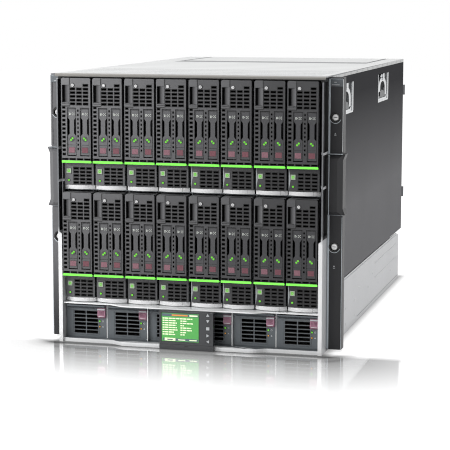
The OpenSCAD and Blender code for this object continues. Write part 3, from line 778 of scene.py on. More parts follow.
    # Painted shade: the frame's sides are dark above a height, but for its crossbars
    frame_side: Finish = PaintedShadeBandFinish(
        "frame_painted_shade_bands", "frame_silver", tone("cfd0d2"), tone("c2c3c5"), (0.35, 0.5), 0.2, dark=tone("131314")
    )
    bay: Finish = Finish(
        "bay_bright",
        "bay_silver",
        tone("ebeced"),
        tone("dfe0e1"),
        (0.3, 0.45),
        0.2,
        brushed=Axis.X,
        grain_scale=1000,
    )
    cage: Finish = Finish(
        "cage_zinc", "cage_steel", tone("85888b"), tone("76797c"), (0.35, 0.5), 0.75, brushed=Axis.Y
    )
    # Painted light: the right ear's black turns slightly lighter towards the top
    ear: Finish = PaintedGradientFinish(
        "ear_black",
        "ear_plastic",
        tone("353537"),
        tone("2e2e30"),
        (0.36, 0.5),
        0.0,
        shine=0.22,
        wear=0.05,
        painted_end=tone("3c3c3e"),
        between=(330.0, 425.0),
    )
    # Painted light: a lit copy of the ears' black for the left ear, turning lighter upwards
    ear_painted_light: Finish = PaintedGradientFinish(
        "ear_black_painted_light",
        "ear_plastic",
        tone("333335"),
        tone("2d2d2f"),
        (0.36, 0.5),
        0.0,
        shine=0.22,
        wear=0.05,
        painted_end=tone("656567"),
        between=(30.0, 150.0),
    )
    ear_line: Finish = Finish(
        "ear_edge_silver", "bracket_metal", tone("ccd4da"), tone("bac2c8"), (0.3, 0.45), 0.1
    )
    # Painted shade: a darker grey for the brackets' sunk plates
    plate: Finish = Finish(
        "bracket_plate_grey", "bracket_metal", tone("5e6062"), tone("4c4e50"), (0.35, 0.5), 0.5
    )
    handle: Finish = Finish(
        "fan_handle_grey", "fan_black", tone("77787b"), tone("68696c"), (0.35, 0.5), wear=0.1
    )
    # Painted shade: black in the screw wells
    well_painted_shade: Finish = Finish("screw_well_shade_black", "ear_plastic", tone("0c0c0d"), tone("080809"), (0.35, 0.5))
    bright: Finish = Finish(
        "bracket_bright", "bracket_metal", tone("cfd1d3"), tone("bcbec0"), (0.18, 0.34), 0.9, wear=0.25
    )
    fan: Finish = Finish("fan_case_black", "fan_black", tone("262628"), tone("1e1e20"), (0.45, 0.6))
    guard: Finish = Finish("guard_chrome", "bracket_metal", tone("bfc1c2"), tone("a6a8aa"), (0.2, 0.35), 0.9)
    latch: Finish = Finish(
        "latch_rose", "supply_grey", tone("a07286"), tone("926478"), (0.3, 0.42), coat=0.15, wear=0.06
    )
    maroon: Finish = Finish(
        "latch_maroon", "fan_black", tone("7c2840"), tone("6c2036"), (0.35, 0.5), wear=0.1
    )
    module: Finish = Finish(
        "module_zinc", "module_grey", tone("8c8f92"), tone("7e8184"), (0.35, 0.5), 0.6, brushed=Axis.X
    )
    port: Finish = Finish("port_black", "module_grey", tone("161617"), tone("101011"), (0.4, 0.6))
    inlet: Finish = Finish("inlet_charcoal", "inlet_dark", tone("3a3b3d"), tone("303133"), (0.4, 0.55))
    supply: Finish = Finish(
        "supply_face_grey", "supply_grey", tone("5e6367"), tone("52575b"), (0.34, 0.5), 0.2, wear=0.06
    )
    supply_case: Finish = Finish(
        "supply_case_zinc", "supply_grey", tone("8e9193"), tone("7e8183"), (0.3, 0.48), 0.8, brushed=Axis.Y
    )
    screen_rim: Finish = Finish(
        "display_black", "display_dark", tone("37383b"), tone("303134"), (0.25, 0.4), coat=0.1, wear=0.03
    )
    screen: Finish = Finish(
        "screen_green",
        "display_dark",
        tone("4f9f4e"),
        tone("499747"),
        (0.2, 0.3),
        glow=0.35,
        wear=0.0,
        dust=0.0,
    )
    screen_bar: Finish = Finish(
        "screen_title_blue",
        "display_dark",
        tone("52606a"),
        tone("4a5862"),
        (0.2, 0.3),
        glow=0.3,
        wear=0.0,
        dust=0.0,
    )
    screen_text: Finish = Finish(
        "screen_line_cream",
        "display_dark",
        tone("dfe9c4"),
        tone("d2e2b6"),
        (0.2, 0.3),
        glow=0.45,
        wear=0.0,
        dust=0.0,
    )
    screen_mark: Finish = Finish(
        "screen_mark_orange",
        "display_dark",
        tone("d08a3c"),
        tone("c47e34"),
        (0.2, 0.3),
        glow=0.45,
        wear=0.0,
        dust=0.0,
    )
    key: Finish = Finish("key_pale", "key_silver", tone("bfc2c5"), tone("aeb1b4"), (0.3, 0.45), wear=0.05)


FaceRule = Callable[[Vector, Vector], Finish | None]


# ------------------------------------------------------------------ meshes


class Shape:
    """A mesh under construction, in millimetres, with a finish for each face."""

    def __init__(self) -> None:
        """Start an empty mesh."""
        self.bm = bmesh.new()
        self.finishes: list[Finish] = []

    def _index(self, finish: Finish) -> int:
        """Give the finish's place among the mesh's materials.

        Args:
            finish: The finish.

        Returns:
            Its number, from 0.
        """
        if finish not in self.finishes:
            self.finishes.append(finish)
        return self.finishes.index(finish)

    def _corner(self, u: float, v: float, place: float, along: Axis = Axis.Y) -> bmesh.types.BMVert:
        """Add a corner from its place across an axis and along it."""
        point = {Axis.Y: (u, place, v), Axis.X: (place, u, v), Axis.Z: (u, v, place)}[along]
        return self.bm.verts.new(Vector(point) * MM)

    def _face(self, corners: Sequence[bmesh.types.BMVert], finish: Finish, smooth: bool = False) -> None:
        """Add one face.

        Args:
            corners: Its corners in order.
            finish: Its finish.
            smooth: Whether it is shaded smooth.
        """
        face = self.bm.faces.new(corners)
        face.material_index = self._index(finish)
        face.smooth = smooth

    @staticmethod
    def _drawn_in(points: Sequence[Pair], shrink: float) -> list[Pair]:
        """Move the corners of an outline inwards.

        Args:
            points: Corners, anticlockwise.
            shrink: How far each side moves.

        Returns:
            The new corners.
        """
        drawn = []
        for k, point in enumerate(points):
            here, before, after = Vector(point), Vector(points[k - 1]), Vector(points[(k + 1) % len(points)])
            one, two = (here - before).normalized(), (after - here).normalized()
            normal = Vector((-one.y - two.y, one.x + two.x))
            if normal.length > 1e-6:
                normal.normalize()
                scale = max(0.5, abs(normal.dot(Vector((-one.y, one.x)))))
                here = here + normal * (shrink / scale)
            drawn.append((here.x, here.y))
        return drawn

    def prism(
        self,
        outline: Sequence[Pair],
        depth: Pair,
        finish: Finish,
        along: Axis = Axis.Y,
        inset: float = 0.0,
        smooth: bool = False,
    ) -> None:
        """Add a slab of an outline, with its near edge chamfered.

        Args:
            outline: Corners in the plane across the axis: (x, z), (y, z) or (x, y).
            depth: Near and far place along the axis.
            finish: Finish of every face.
            along: Axis of the slab.
            inset: Chamfer of the near end.
            smooth: Whether the sides are shaded smooth.
        """
        area = sum(a[0] * b[1] - b[0] * a[1] for a, b in zip(outline, [*outline[1:], outline[0]]))
        points = list(outline) if area > 0 else list(reversed(outline))
        count = len(points)
        rings = []
        steps = [(depth[0], inset), (depth[1], 0.0)]
        if inset:
            steps.insert(1, (depth[0] + inset, 0.0))
        for place, shrink in steps:
            drawn = self._drawn_in(points, shrink) if shrink else points
            rings.append([self._corner(u, v, place, along) for u, v in drawn])
        flip = along is Axis.Y
        first, last = list(rings[0]), list(rings[-1])
        self._face(first if flip else list(reversed(first)), finish)
        self._face(list(reversed(last)) if flip else last, finish)
        for near, far in zip(rings, rings[1:]):
            for k in range(count):
                quad = [near[k], far[k], far[(k + 1) % count], near[(k + 1) % count]]
                self._face(quad if flip else list(reversed(quad)), finish, smooth)

    def block(self, low: Point, high: Point, finish: Finish, inset: float = 0.0) -> None:
        """Add a box whose front edges are chamfered.

        Args:
            low: Its left, front and bottom.
            high: Its right, back and top.
            finish: Finish of every face.
            inset: Chamfer of the front.
        """
        outline = [(low[0], low[2]), (high[0], low[2]), (high[0], high[2]), (low[0], high[2])]
        self.prism(outline, (low[1], high[1]), finish, Axis.Y, inset)

    def disc(
        self,
        centre: Pair,
        radius: float,
        depth: Pair,
        finish: Finish,
        along: Axis = Axis.Y,
        inset: float = 0.0,
        sides: int = 32,
        squash: float = 1.0,
    ) -> None:
        """Add a round or oval slab.

        Args:
            centre: Middle across the axis.
            radius: Longer radius.
            depth: Near and far place along the axis.
            finish: Finish of every face.
            along: Axis of the slab.
            inset: Chamfer of the near end.
            sides: Corners of the outline.
            squash: Ratio of the shorter radius to the longer one.
        """
        turns = [2 * math.pi * k / sides for k in range(sides)]
        outline = [
            (centre[0] + radius * math.cos(t), centre[1] + radius * squash * math.sin(t)) for t in turns
        ]
        self.prism(outline, depth, finish, along, inset, smooth=True)

    def ring(
        self,
        centre: Pair,
        radii: Pair,
        depth: Pair,
        finish: Finish,
        sides: int = 36,
        arc: Pair = (0.0, 360.0),
    ) -> None:
        """Add a flat ring, or part of one, that faces the front.

        Args:
            centre: Middle across the axis.
            radii: Inner and outer radius.
            depth: Near and far place.
            finish: Finish of every face.
            sides: Steps round the arc.
            arc: First and last angle in degrees.
        """
        closed = arc[1] - arc[0] >= 360
        count = sides if closed else sides + 1
        grid = []
        for k in range(count):
            t = math.radians(arc[0] + (arc[1] - arc[0]) * k / sides)
            row = []
            for radius, place in (
                (radii[0], depth[0]), (radii[1], depth[0]), (radii[1], depth[1]), (radii[0], depth[1])
            ):
                u, v = centre[0] + radius * math.cos(t), centre[1] + radius * math.sin(t)
                row.append(self._corner(u, v, place))
            grid.append(row)
        for k in range(count if closed else count - 1):
            one, two = grid[k], grid[(k + 1) % count]
            for s in range(4):
                self._face([one[(s + 1) % 4], two[(s + 1) % 4], two[s], one[s]], finish)
        if not closed:
            self._face(grid[0], finish)
            self._face(list(reversed(grid[-1])), finish)

    def mouth(self, low: Pair, size: Pair, face: float, deep: float, finish: Finish, rim: Pair) -> None:
        """Add a painted-shade border and lining of a rectangular opening, both dark.

        Args:
            low: Lower left corner of the opening, (x, z).
            size: Its width and height.
            face: Place of the face that it opens in.
            deep: How far the lining reaches back.
            finish: Finish of the border and lining.
            rim: Width of the border at the sides and at the top and bottom.
        """
        rings = []
        proud = 0.03
        for grow, place in ((1.0, face - proud), (0.0, face - proud), (0.0, face + deep)):
            x0, x1 = low[0] - grow * rim[0], low[0] + size[0] + grow * rim[0]
            z0, z1 = low[1] - grow * rim[1], low[1] + size[1] + grow * rim[1]
            corners = ((x0, z0), (x1, z0), (x1, z1), (x0, z1))
            rings.append([self._corner(x, z, place) for x, z in corners])
        for near, far in zip(rings, rings[1:]):
            for k in range(4):
                self._face([near[k], near[(k + 1) % 4], far[(k + 1) % 4], far[k]], finish)

    def sheet(self, grid: Sequence[Sequence[Point]], finish: Finish) -> None:
        """Add a smooth surface through a grid of points.

        Args:
            grid: Rows of points in millimetres.
            finish: Finish of every face.
        """
        rows = [[self.bm.verts.new(Vector(p) * MM) for p in row] for row in grid]
        for a, b in zip(rows, rows[1:]):
            for k in range(len(a) - 1):
                self._face([a[k], a[k + 1], b[k + 1], b[k]], finish, True)

    def finish_mesh(self, name: str, effects: Effects) -> bpy.types.Mesh:
        """Turn the shape into a mesh with its materials.

        Args:
            name: Name of the mesh.
            effects: The shared shader groups.

        Returns:
            The mesh.
        """
        bmesh.ops.recalc_face_normals(self.bm, faces=self.bm.faces)
        mesh = bpy.data.meshes.new(name)
        self.bm.to_mesh(mesh)
        self.bm.free()
        for finish in self.finishes:
            mesh.materials.append(finish.material(effects))
        return mesh


@dataclass
class Workshop:
    """What every sub-assembly needs: the frame, the finishes and the shared groups."""

    nodes: dict[str, bpy.types.Object]
    effects: Effects
    palette: Palette
    face_y: float
    bevelled: int = 0

    def place(self, name: str, mesh: bpy.types.Mesh, body: str, slot: str, at: Point) -> None:
        """Put a mesh into the scene on a body.

        Args:
            name: Name of the piece.
            mesh: Its mesh.
            body: Body that it rides on.
            slot: Record slot of the piece; not used.
            at: Place in millimetres.
        """
        piece = bpy.data.objects.new(name, mesh)
        piece.location = Vector(at) * MM
        bpy.context.scene.collection.objects.link(piece)
        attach(piece, body)

    def soften(self, piece: bpy.types.Object, width: float) -> None:
        """Ease the sharp edges of a piece with one narrow face each.

        Args:
            piece: The object.
            width: Width of the eased edge in millimetres.
        """
        bevel = piece.modifiers.new("eased_edges", "BEVEL")
        bevel.width = width * MM
        bevel.segments = 1
        bevel.limit_method = "ANGLE"
        bevel.angle_limit = math.radians(EASE_ANGLE)
        bevel.use_clamp_overlap = True
        bevel.miter_outer = "MITER_ARC"
        self.bevelled += 1

    def dress(self, node: str, base: Finish, choose: FaceRule | None = None, ease: float = 0.0) -> None:
        """Give a CAD node its finishes face by face.

        Args:
            node: Name of the node.
            base: Finish where choose gives none.
            choose: Finish for a face from its middle in millimetres and its normal.
            ease: Width of eased edges in millimetres, or 0.
        """
        piece = self.nodes[node]
        piece.data.materials.clear()
        used: list[Finish] = [base]
        piece.data.materials.append(base.material(self.effects))
        if choose:
            for face in piece.data.polygons:
                found = choose(face.center / MM, face.normal) or base
                if found not in used:
                    used.append(found)
                    piece.data.materials.append(found.material(self.effects))
                face.material_index = used.index(found)
        if ease:
            self.soften(piece, ease)


# ------------------------------------------------------------------ blades


@dataclass(frozen=True)
class SlotField:
    """A field of equal ventilation slots in a blade's front."""

    low: Pair
    size: Pair
    pitch: Pair
    count: tuple[int, int]
    face: float
    rim: Pair


@dataclass
class Blades:
    """Sixteen half-height blades with their carriers, lamps and ejector levers."""

    shop: Workshop
    width: float = 49.6
    height: float = 182.3
    gap: float = 3.7
    pair_gap: float = 0.8
    row_z: Pair = (252.7, 66.3)
    drives: Pair = (10.0, 32.2)
    drive_width: float = 14.6
    count: int = 16
    slot_depth: float = 2.6
    strip_z: Pair = (44.4, 48.4)
    recess_y: float = 8.3
    inside_y: float = 100.0
    inside_x: Pair = (3.0, 46.4)
    board_x: float = 44.9
    plug_y: float = 517.5
    sleeve_y: float = 24.0
    sleeve_z: float = 7.2
    screw: Pair = (19.4, 170.7)
    eject_z: Pair = (60.9, 69.7)
    window_z: float = 83.2
    drive_z: Pair = (57.0, 133.0)
    lower_face: float = 13.0
    power: Pair = (7.1, 14.8)
    lamp_z: float = 30.0
    recess_z: Pair = (136.9, 142.4)
    slots: tuple[SlotField, ...] = (
        SlotField((15.5, 139.0), (8.2, 2.9), (11.0, 6.0), (3, 5), 0.0, (0.85, 1.1)),
        SlotField((37.5, 169.0), (8.2, 3.0), (1.0, 1.0), (1, 1), 0.0, (0.85, 1.1)),
        SlotField((1.8, 57.0), (4.6, 3.1), (1.0, 6.9), (1, 12), 0.0, (0.75, 0.75)),
        SlotField((27.2, 66.0), (2.2, 2.6), (1.0, 6.9), (1, 10), 0.0, (0.2, 0.7)),
        SlotField((1.0, 49.4), (10.0, 2.3), (12.6, 1.0), (4, 1), 0.0, (0.7, 0.6)),
        SlotField((15.6, 9.7), (8.0, 2.5), (11.1, 5.85), (3, 5), 13.0, (1.25, 1.35)),
    )

    def corner(self, number: int) -> Point:
        """Give the lower left front corner of a blade in millimetres.

        Args:
            number: Number of the blade, from 1.

        Returns:
            The corner.
        """
        column, row = (number - 1) % COLUMNS, (number - 1) // COLUMNS
        total = COLUMNS * (self.width + self.gap) + 3 * self.pair_gap
        x = -total / 2 + self.gap / 2 + column * (self.width + self.gap) + (column // 2) * self.pair_gap
        return x, self.shop.face_y, self.row_z[row]

    def choose(self, corner: Point) -> FaceRule:
        """Give the rule that picks the finish of a blade's faces.

        Args:
            corner: The blade's lower left front corner.

        Returns:
            A function of a face's middle and normal.
        """
        p, start = self.shop.palette, Vector(corner)

        def rule(middle: Vector, normal: Vector) -> Finish | None:
            """Pick the finish for one face, from the rear and the inside to the front.

            Args:
                middle: Middle of the face in millimetres.
                normal: Its normal.

            Returns:
                The finish, or None for the piece's own.
            """
            x, y, z = middle - start
            if self.strip_z[0] < z < self.strip_z[1]:
                side = y < self.recess_y and abs(normal.z) < 0.9 and abs(normal.x) > 0.9
                if y < -0.2 or side:
                    return p.strip if y < 4 else p.face_edge
            if y > self.inside_y and self.inside_x[0] < x < self.inside_x[1]:
                return p.board if x > self.board_x else p.sink
            if y > self.plug_y:
                return p.plug
            outer = y > self.recess_y - 0.1 and (x < 1 or x > self.width - 1)
            if y > self.sleeve_y or outer or z < self.sleeve_z:
                return p.sleeve
            if y < -0.1 and math.hypot(x - self.screw[0], z - self.screw[1]) < 3.4:
                return p.screw
            for left in self.drives:
                if left - 0.1 < x < left + self.drive_width + 0.1 and self.drive_z[0] < z < self.drive_z[1]:
                    return drive(x - left, y, z, normal, left)
            return front(x, y, z, normal)

        def drive(x: float, y: float, z: float, normal: Vector, left: float) -> Finish:
            """Pick the finish for one face of a drive carrier.

            Args:
                x: Place to the right of the piece's left edge.
                y: Place behind the face.
                z: Height above the lower edge.
                normal: Its normal.
                left: Left edge of the carrier.

            Returns:
                The finish.
            """
            # The right drive's release button takes the painted-shade copy of the pink
            if y < 0.3 and self.eject_z[0] < z < self.eject_z[1] and normal.y < -0.5:
                return p.eject if left == self.drives[0] else p.eject_painted_shade
            if y < 0.6 and math.hypot(x - self.drive_width / 2, z - self.window_z) < 4.1 and normal.y < -0.5:
                return p.ring
            # Deeper inside the carrier: painted shade
            return p.carrier if y < 6 or abs(normal.y) < 0.5 else p.hollow_shade

        def front(x: float, y: float, z: float, normal: Vector) -> Finish | None:
            """Pick the finish for one face of the grille, grip or lower front.

            Args:
                x: Place to the right of the piece's left edge.
                y: Place behind the face.
                z: Height above the lower edge.
                normal: Its normal.

            Returns:
                The finish, or None for the piece's own.
            """
            ahead = y < self.lower_face - 0.1
            if 2.9 < x < 11.3 and 25.9 < z < 34.1 and ahead:
                return p.button
            if z < 20 and ahead:
                return p.lamp
            within = 0.3 < x < self.width - 0.3 and abs(normal.y) < 0.5
            # The lining of the lower front's recess takes painted shade
            if self.lower_face - 0.1 < y < self.lower_face + 3.2 and 7.4 < z < 44.7:
                return p.hollow_shade if within and 7.6 < z < 44.5 else None
            if x < 14.3 and z > self.recess_z[0]:
                scoop = 1.5 < x < 13.7 and self.recess_z[1] < z < 171
                # Inside the finger recess: painted shade, graded on the scoop and black deeper in
                if (scoop and y > 0.05) or y > 9:
                    return p.scoop if normal.y < -0.1 and x > 8 else p.hollow_shade
                return p.seam if z < self.recess_z[0] + 0.2 or x > 14.1 else p.grip
            # Faces behind the front take painted shade
            deep = within and 0.05 < y < 3.1 and self.strip_z[1] + 0.1 < z < self.height - 0.4
            return p.hollow_shade if deep or y > 3.2 else None

        return rule

    def drive_trim(self, shape: Shape, left: float, lean: int) -> None:
        """Add the marks, edges and lamps of one drive carrier.

        Args:
            shape: The mesh of the fittings.
            left: Left edge of the carrier.
            lean: 1 where the two lamps climb to the right, else -1.
        """
        p, mid, right = self.shop.palette, left + self.drive_width / 2, left + self.drive_width
        # Raised marks on the cap: a small arrow and a cross
        arrow = ((-2.4, 2.6), (-1.0, 1.6), (-2.4, 0.6), (-3.8, 2.9), (-3.8, 0.3), (-3.8, 1.6))
        for dx, dz in arrow:
            shape.disc((mid + dx, 122.4 + dz), 0.72, (0.62, 1.05), p.mark, sides=10)
        for dx, dz in ((-1.5, -1.5), (1.5, 1.5), (-1.5, 1.5), (1.5, -1.5), (0, 0)):
            shape.disc((mid + 3.0 + dx, 124.0 + dz), 0.7, (0.62, 1.05), p.mark, sides=10)
        # Rim of the cap and the edges of the carrier's foot
        bend = [(5.4, 118.4), (6.4, 121.5), (6.4, 128.6), (5.6, 131.6)]
        cap = [(-u, v) for u, v in bend] + bend[::-1]
        for (u0, v0), (u1, v1) in zip(cap, cap[1:]):
            rim = [(mid + u0, v0), (mid + u1, v1), (mid + u1 * 0.92, v1), (mid + u0 * 0.92, v0 + 0.4)]
            shape.prism(rim, (0.7, 1.03), p.carrier)
        shape.block((left + 0.7, 0.72, 131.4), (right - 0.7, 1.05, 132.2), p.carrier, 0.12)
        shape.block((left + 0.2, 0.9, 73.2), (right - 0.2, 1.03, 73.9), p.seam)
        for side in (-1, 1):
            foot = mid + side * 6.95
            shape.block((foot - 0.2, 0.65, 58), (foot + 0.2, 1.02, 87), p.carrier, 0.12)
        # Border of the release button
        for u in (2.0, self.drive_width - 2.4):
            shape.block((left + u, 0.6, 60.6), (left + u + 0.4, 1.02, 70.0), p.ring)
        for v in (60.4, 69.7):
            shape.block((left + 2.0, 0.6, v), (right - 2.0, 1.02, v + 0.4), p.ring)
        # Two lamps across the round window
        shape.ring((mid, self.window_z), (3.6, 4.2), (0.3, 0.7), p.face, sides=28)
        for side in (-1, 1):
            middle = (mid + side * 1.35, self.window_z + side * lean * 1.35)
            shape.disc(middle, 1.65, (0.15, 0.62), p.lamp, inset=0.15, sides=20)

    def trim(self) -> bpy.types.Mesh:
        """Build the small fittings of one blade's front.

        Returns:
            The mesh, measured from the blade's lower left front corner.
        """
        p, lower = self.shop.palette, self.lower_face
        shape = Shape()
        for left, lean in zip(self.drives, (1, -1)):
            self.drive_trim(shape, left, lean)
        # Screw with its recess
        shape.ring(self.screw, (2.35, 3.5), (-1.08, -0.2), p.face, sides=28)
        shape.ring(self.screw, (0.9, 1.5), (-1.12, -0.9), p.face, sides=20)
        # Power button and its lamp on the lower front
        shape.ring(self.power, (1.75, 2.5), (lower - 0.45, lower + 0.05), p.face_edge, sides=24)
        shape.ring((self.power[0], self.lamp_z), (1.0, 2.3), (lower - 1.0, lower - 0.6), p.lamp, sides=24)
        for a, b in (
            ((2.6, 25.4), (11.6, 26.0)),
            ((2.6, 34.0), (11.6, 34.6)),
            ((2.6, 26.0), (3.2, 34.0)),
            ((11.0, 26.0), (11.6, 34.0)),
        ):
            shape.block((a[0], lower - 0.9, a[1]), (b[0], lower + 0.05, b[1]), p.carrier, 0.1)
        # Dark mouths of the ventilation slots: painted shade at their borders and linings
        for field in self.slots:
            for i in range(field.count[0]):
                for j in range(field.count[1]):
                    low = (field.low[0] + i * field.pitch[0], field.low[1] + j * field.pitch[1])
                    shape.mouth(low, field.size, field.face, self.slot_depth, p.hollow_shade, field.rim)
        # Hollowed face, lip and ledge of the finger recess; the face carries painted shade from black to grey
        bend = [(1.9 + 11.5 * k / 10, 0.4 + 6.5 * (1 - k / 10) ** 2) for k in range(11)]
        shape.sheet([[(x, y, z) for x, y in bend] for z in (143.0, 170.9)], p.scoop)
        shape.block((13.6, -0.2, 171.7), (15.2, 0.1, 181.7), p.seam)
        shape.block((0.6, -0.2, 136.0), (15.0, 0.1, 137.6), p.seam)
        # Dark gaps round the drive carriers
        for left in self.drives:
            right = left + self.drive_width
            for u in (left - 0.35, right - 0.15):
                shape.block((u, -0.1, 57.5), (u + 0.5, 0.1, 133.4), p.seam)
            shape.block((left - 0.3, -0.1, 132.9), (right + 0.3, 0.1, 133.7), p.seam)
        shape.block((1.0, -0.2, 141.6), (1.5, 0.3, 171.6), p.grip, 0.15)
        shape.block((1.0, -0.2, 171.1), (14.0, 0.3, 171.6), p.grip, 0.15)
        ledge = [(-0.25, 141.0), (2.6, 143.4), (3.4, 143.4), (3.4, 142.5), (0.4, 140.4)]
        shape.prism(ledge, (1.9, 13.3), p.carrier, Axis.X)
        shape.block((1.5, -0.12, 139.9), (13.9, 0.1, 140.5), p.seam)
        return shape.finish_mesh("blade_fittings", self.shop.effects)

    def build(self) -> None:
        """Dress every blade and lever, and add their fittings."""
        p, shop = self.shop.palette, self.shop
        fittings = self.trim()
        for number in range(1, self.count + 1):
            corner = self.corner(number)
            shop.dress(f"blade_{number:02d}", p.face, self.choose(corner), 0.25)
            shop.dress(f"lever_{number:02d}", p.lever, None, 0.7)
            shop.place(f"blade_{number:02d}_fittings", fittings, f"blade_{number:02d}", "blade_dark", corner)
        log.info("blades: %d with levers and fittings", self.count)


# ------------------------------------------------------------------ power bay and display


@dataclass
class PowerBay:
    """Six power supplies, their bay and the mains inlets."""

    shop: Workshop
    pitch: float = 71.4667
    face_back: float = 16.0
    clear: float = 1.0
    latch_x: float = 55.0
    latch_z: Pair = (39.9, 56.6)
    body_x: Pair = (1.0, 68.5)
    plane_face: float = 702.8
    inlet_y: Pair = (744.0, 764.5)

    def left(self, number: int) -> float:
        """Give a supply's left edge in millimetres."""
        return -3 * self.pitch + (number - 1) * self.pitch + self.clear

    def choose(self, number: int) -> FaceRule:
        """Give the rule that picks the finish of a supply's faces.

        Args:
            number: Number of the supply, from 1.

        Returns:
            A function of a face's middle and normal.
        """
        p, x0, y0 = self.shop.palette, self.left(number), self.shop.face_y

        def rule(middle: Vector, normal: Vector) -> Finish | None:
            """Pick the finish for one face.

            Args:
                middle: Middle of the face in millimetres.
                normal: Its normal.

            Returns:
                The finish, or None for the piece's own.
            """
            x, y, z = middle.x - x0, middle.y - y0 - self.face_back, middle.z
            if -5.6 < y < -0.1 and x > self.latch_x and self.latch_z[0] < z < self.latch_z[1]:
                return p.latch
            if y < -0.05 and z < 36 and x > self.latch_x:
                return p.lamp if z > 29 else p.amber
            if y > 4.2:
                return p.supply_case
            # Linings and deeper faces of the supply take painted shade
            lining = abs(normal.y) < 0.5 and y > 0 and self.body_x[0] < x < self.body_x[1]
            return p.hollow_shade if y > 3.9 or lining else None

        return rule

    def trim(self) -> bpy.types.Mesh:
        """Build the fittings of one supply, from its left edge and the floor.

        Returns:
            The mesh.
        """
        p, face = self.shop.palette, self.face_back
        shape = Shape()
        # Painted shade: dark borders and linings at the grille's slots
        for i in range(2):
            for j in range(6):
                low = (14 + 21.4 * i, 13.4 + 6.5 * j)
                shape.mouth(low, (19.0, 4.1), face, 3.6, p.hollow_shade, (0.5, 0.6))
        # White grip edge of the latch
        shape.block((55.7, face - 5.9, 53.4), (68.3, face - 3.6, 55.6), p.key, 0.3)
        shape.block((57.2, face - 6.0, 42.5), (66.8, face - 4.9, 43.3), p.screw, 0.15)
        for k in range(5):
            shape.block((57.5 + 2.0 * k, face - 5.75, 45), (58.3 + 2.0 * k, face - 4.6, 52), p.latch, 0.2)
        # Frame round the grille
        for a, b in (((11.2, 11.0), (12.0, 52.5)), ((56.4, 11.0), (57.0, 38.4))):
            shape.block((a[0], face - 0.5, a[1]), (b[0], face + 0.2, b[1]), p.supply, 0.2)
        shape.block((11.2, face - 0.5, 10.4), (57.0, face + 0.2, 11.0), p.supply, 0.2)
        # Lamp rims and small signs beside them
        for z, r in ((34.0, 1.6), (25.0, 1.2)):
            shape.ring((57.97, z), (r, r + 0.7), (face - 0.75, face + 0.1), p.face_edge, sides=20)
        shape.ring((63.2, 34.0), (1.0, 1.5), (face - 0.15, face + 0.1), p.key, sides=16)
        shape.prism([(61.8, 23.9), (64.6, 23.9), (63.2, 26.3)], (face - 0.15, face + 0.1), p.key)
        return shape.finish_mesh("supply_fittings", self.shop.effects)

    def build(self) -> None:
        """Dress the bay and supplies."""
        p, shop = self.shop.palette, self.shop
        fittings = self.trim()
        for number in range(1, SUPPLIES + 1):
            name = f"power_supply_{number}"
            shop.dress(name, p.supply, self.choose(number), 0.3)
            body = "chassis" if number in (3, 4) else name
            shop.place(
                f"{name}_fittings", fittings, body, "supply_grey", (self.left(number), shop.face_y, 0.0)
            )

        def bay_rule(middle: Vector, normal: Vector) -> Finish | None:
            """Pick the finish of the bay: its floor lies in shade."""
            deep = middle.y - shop.face_y
            return p.supply if normal.z > 0.5 and middle.z < 14 and deep > 0.5 else None

        shop.dress("power_bay_frame", p.bay, bay_rule, 0.35)

        def plane_rule(middle: Vector, normal: Vector) -> Finish | None:
            """Pick the finish of the backplane: black sockets stand before it."""
            return p.plug if normal.y < -0.5 and middle.y < shop.face_y + self.plane_face else None

        shop.dress("power_backplane", p.board, plane_rule)

        def inlet(middle: Vector, normal: Vector) -> Finish | None:
            """Pick the finish of an inlet: the inside of its socket is black."""
            near, far = (shop.face_y + v for v in self.inlet_y)
            return p.plug if abs(normal.y) < 0.5 and near < middle.y < far else None

        shop.dress("power_inlets", p.inlet, inlet, 0.4)
        log.info("power bay: %d supplies", SUPPLIES)


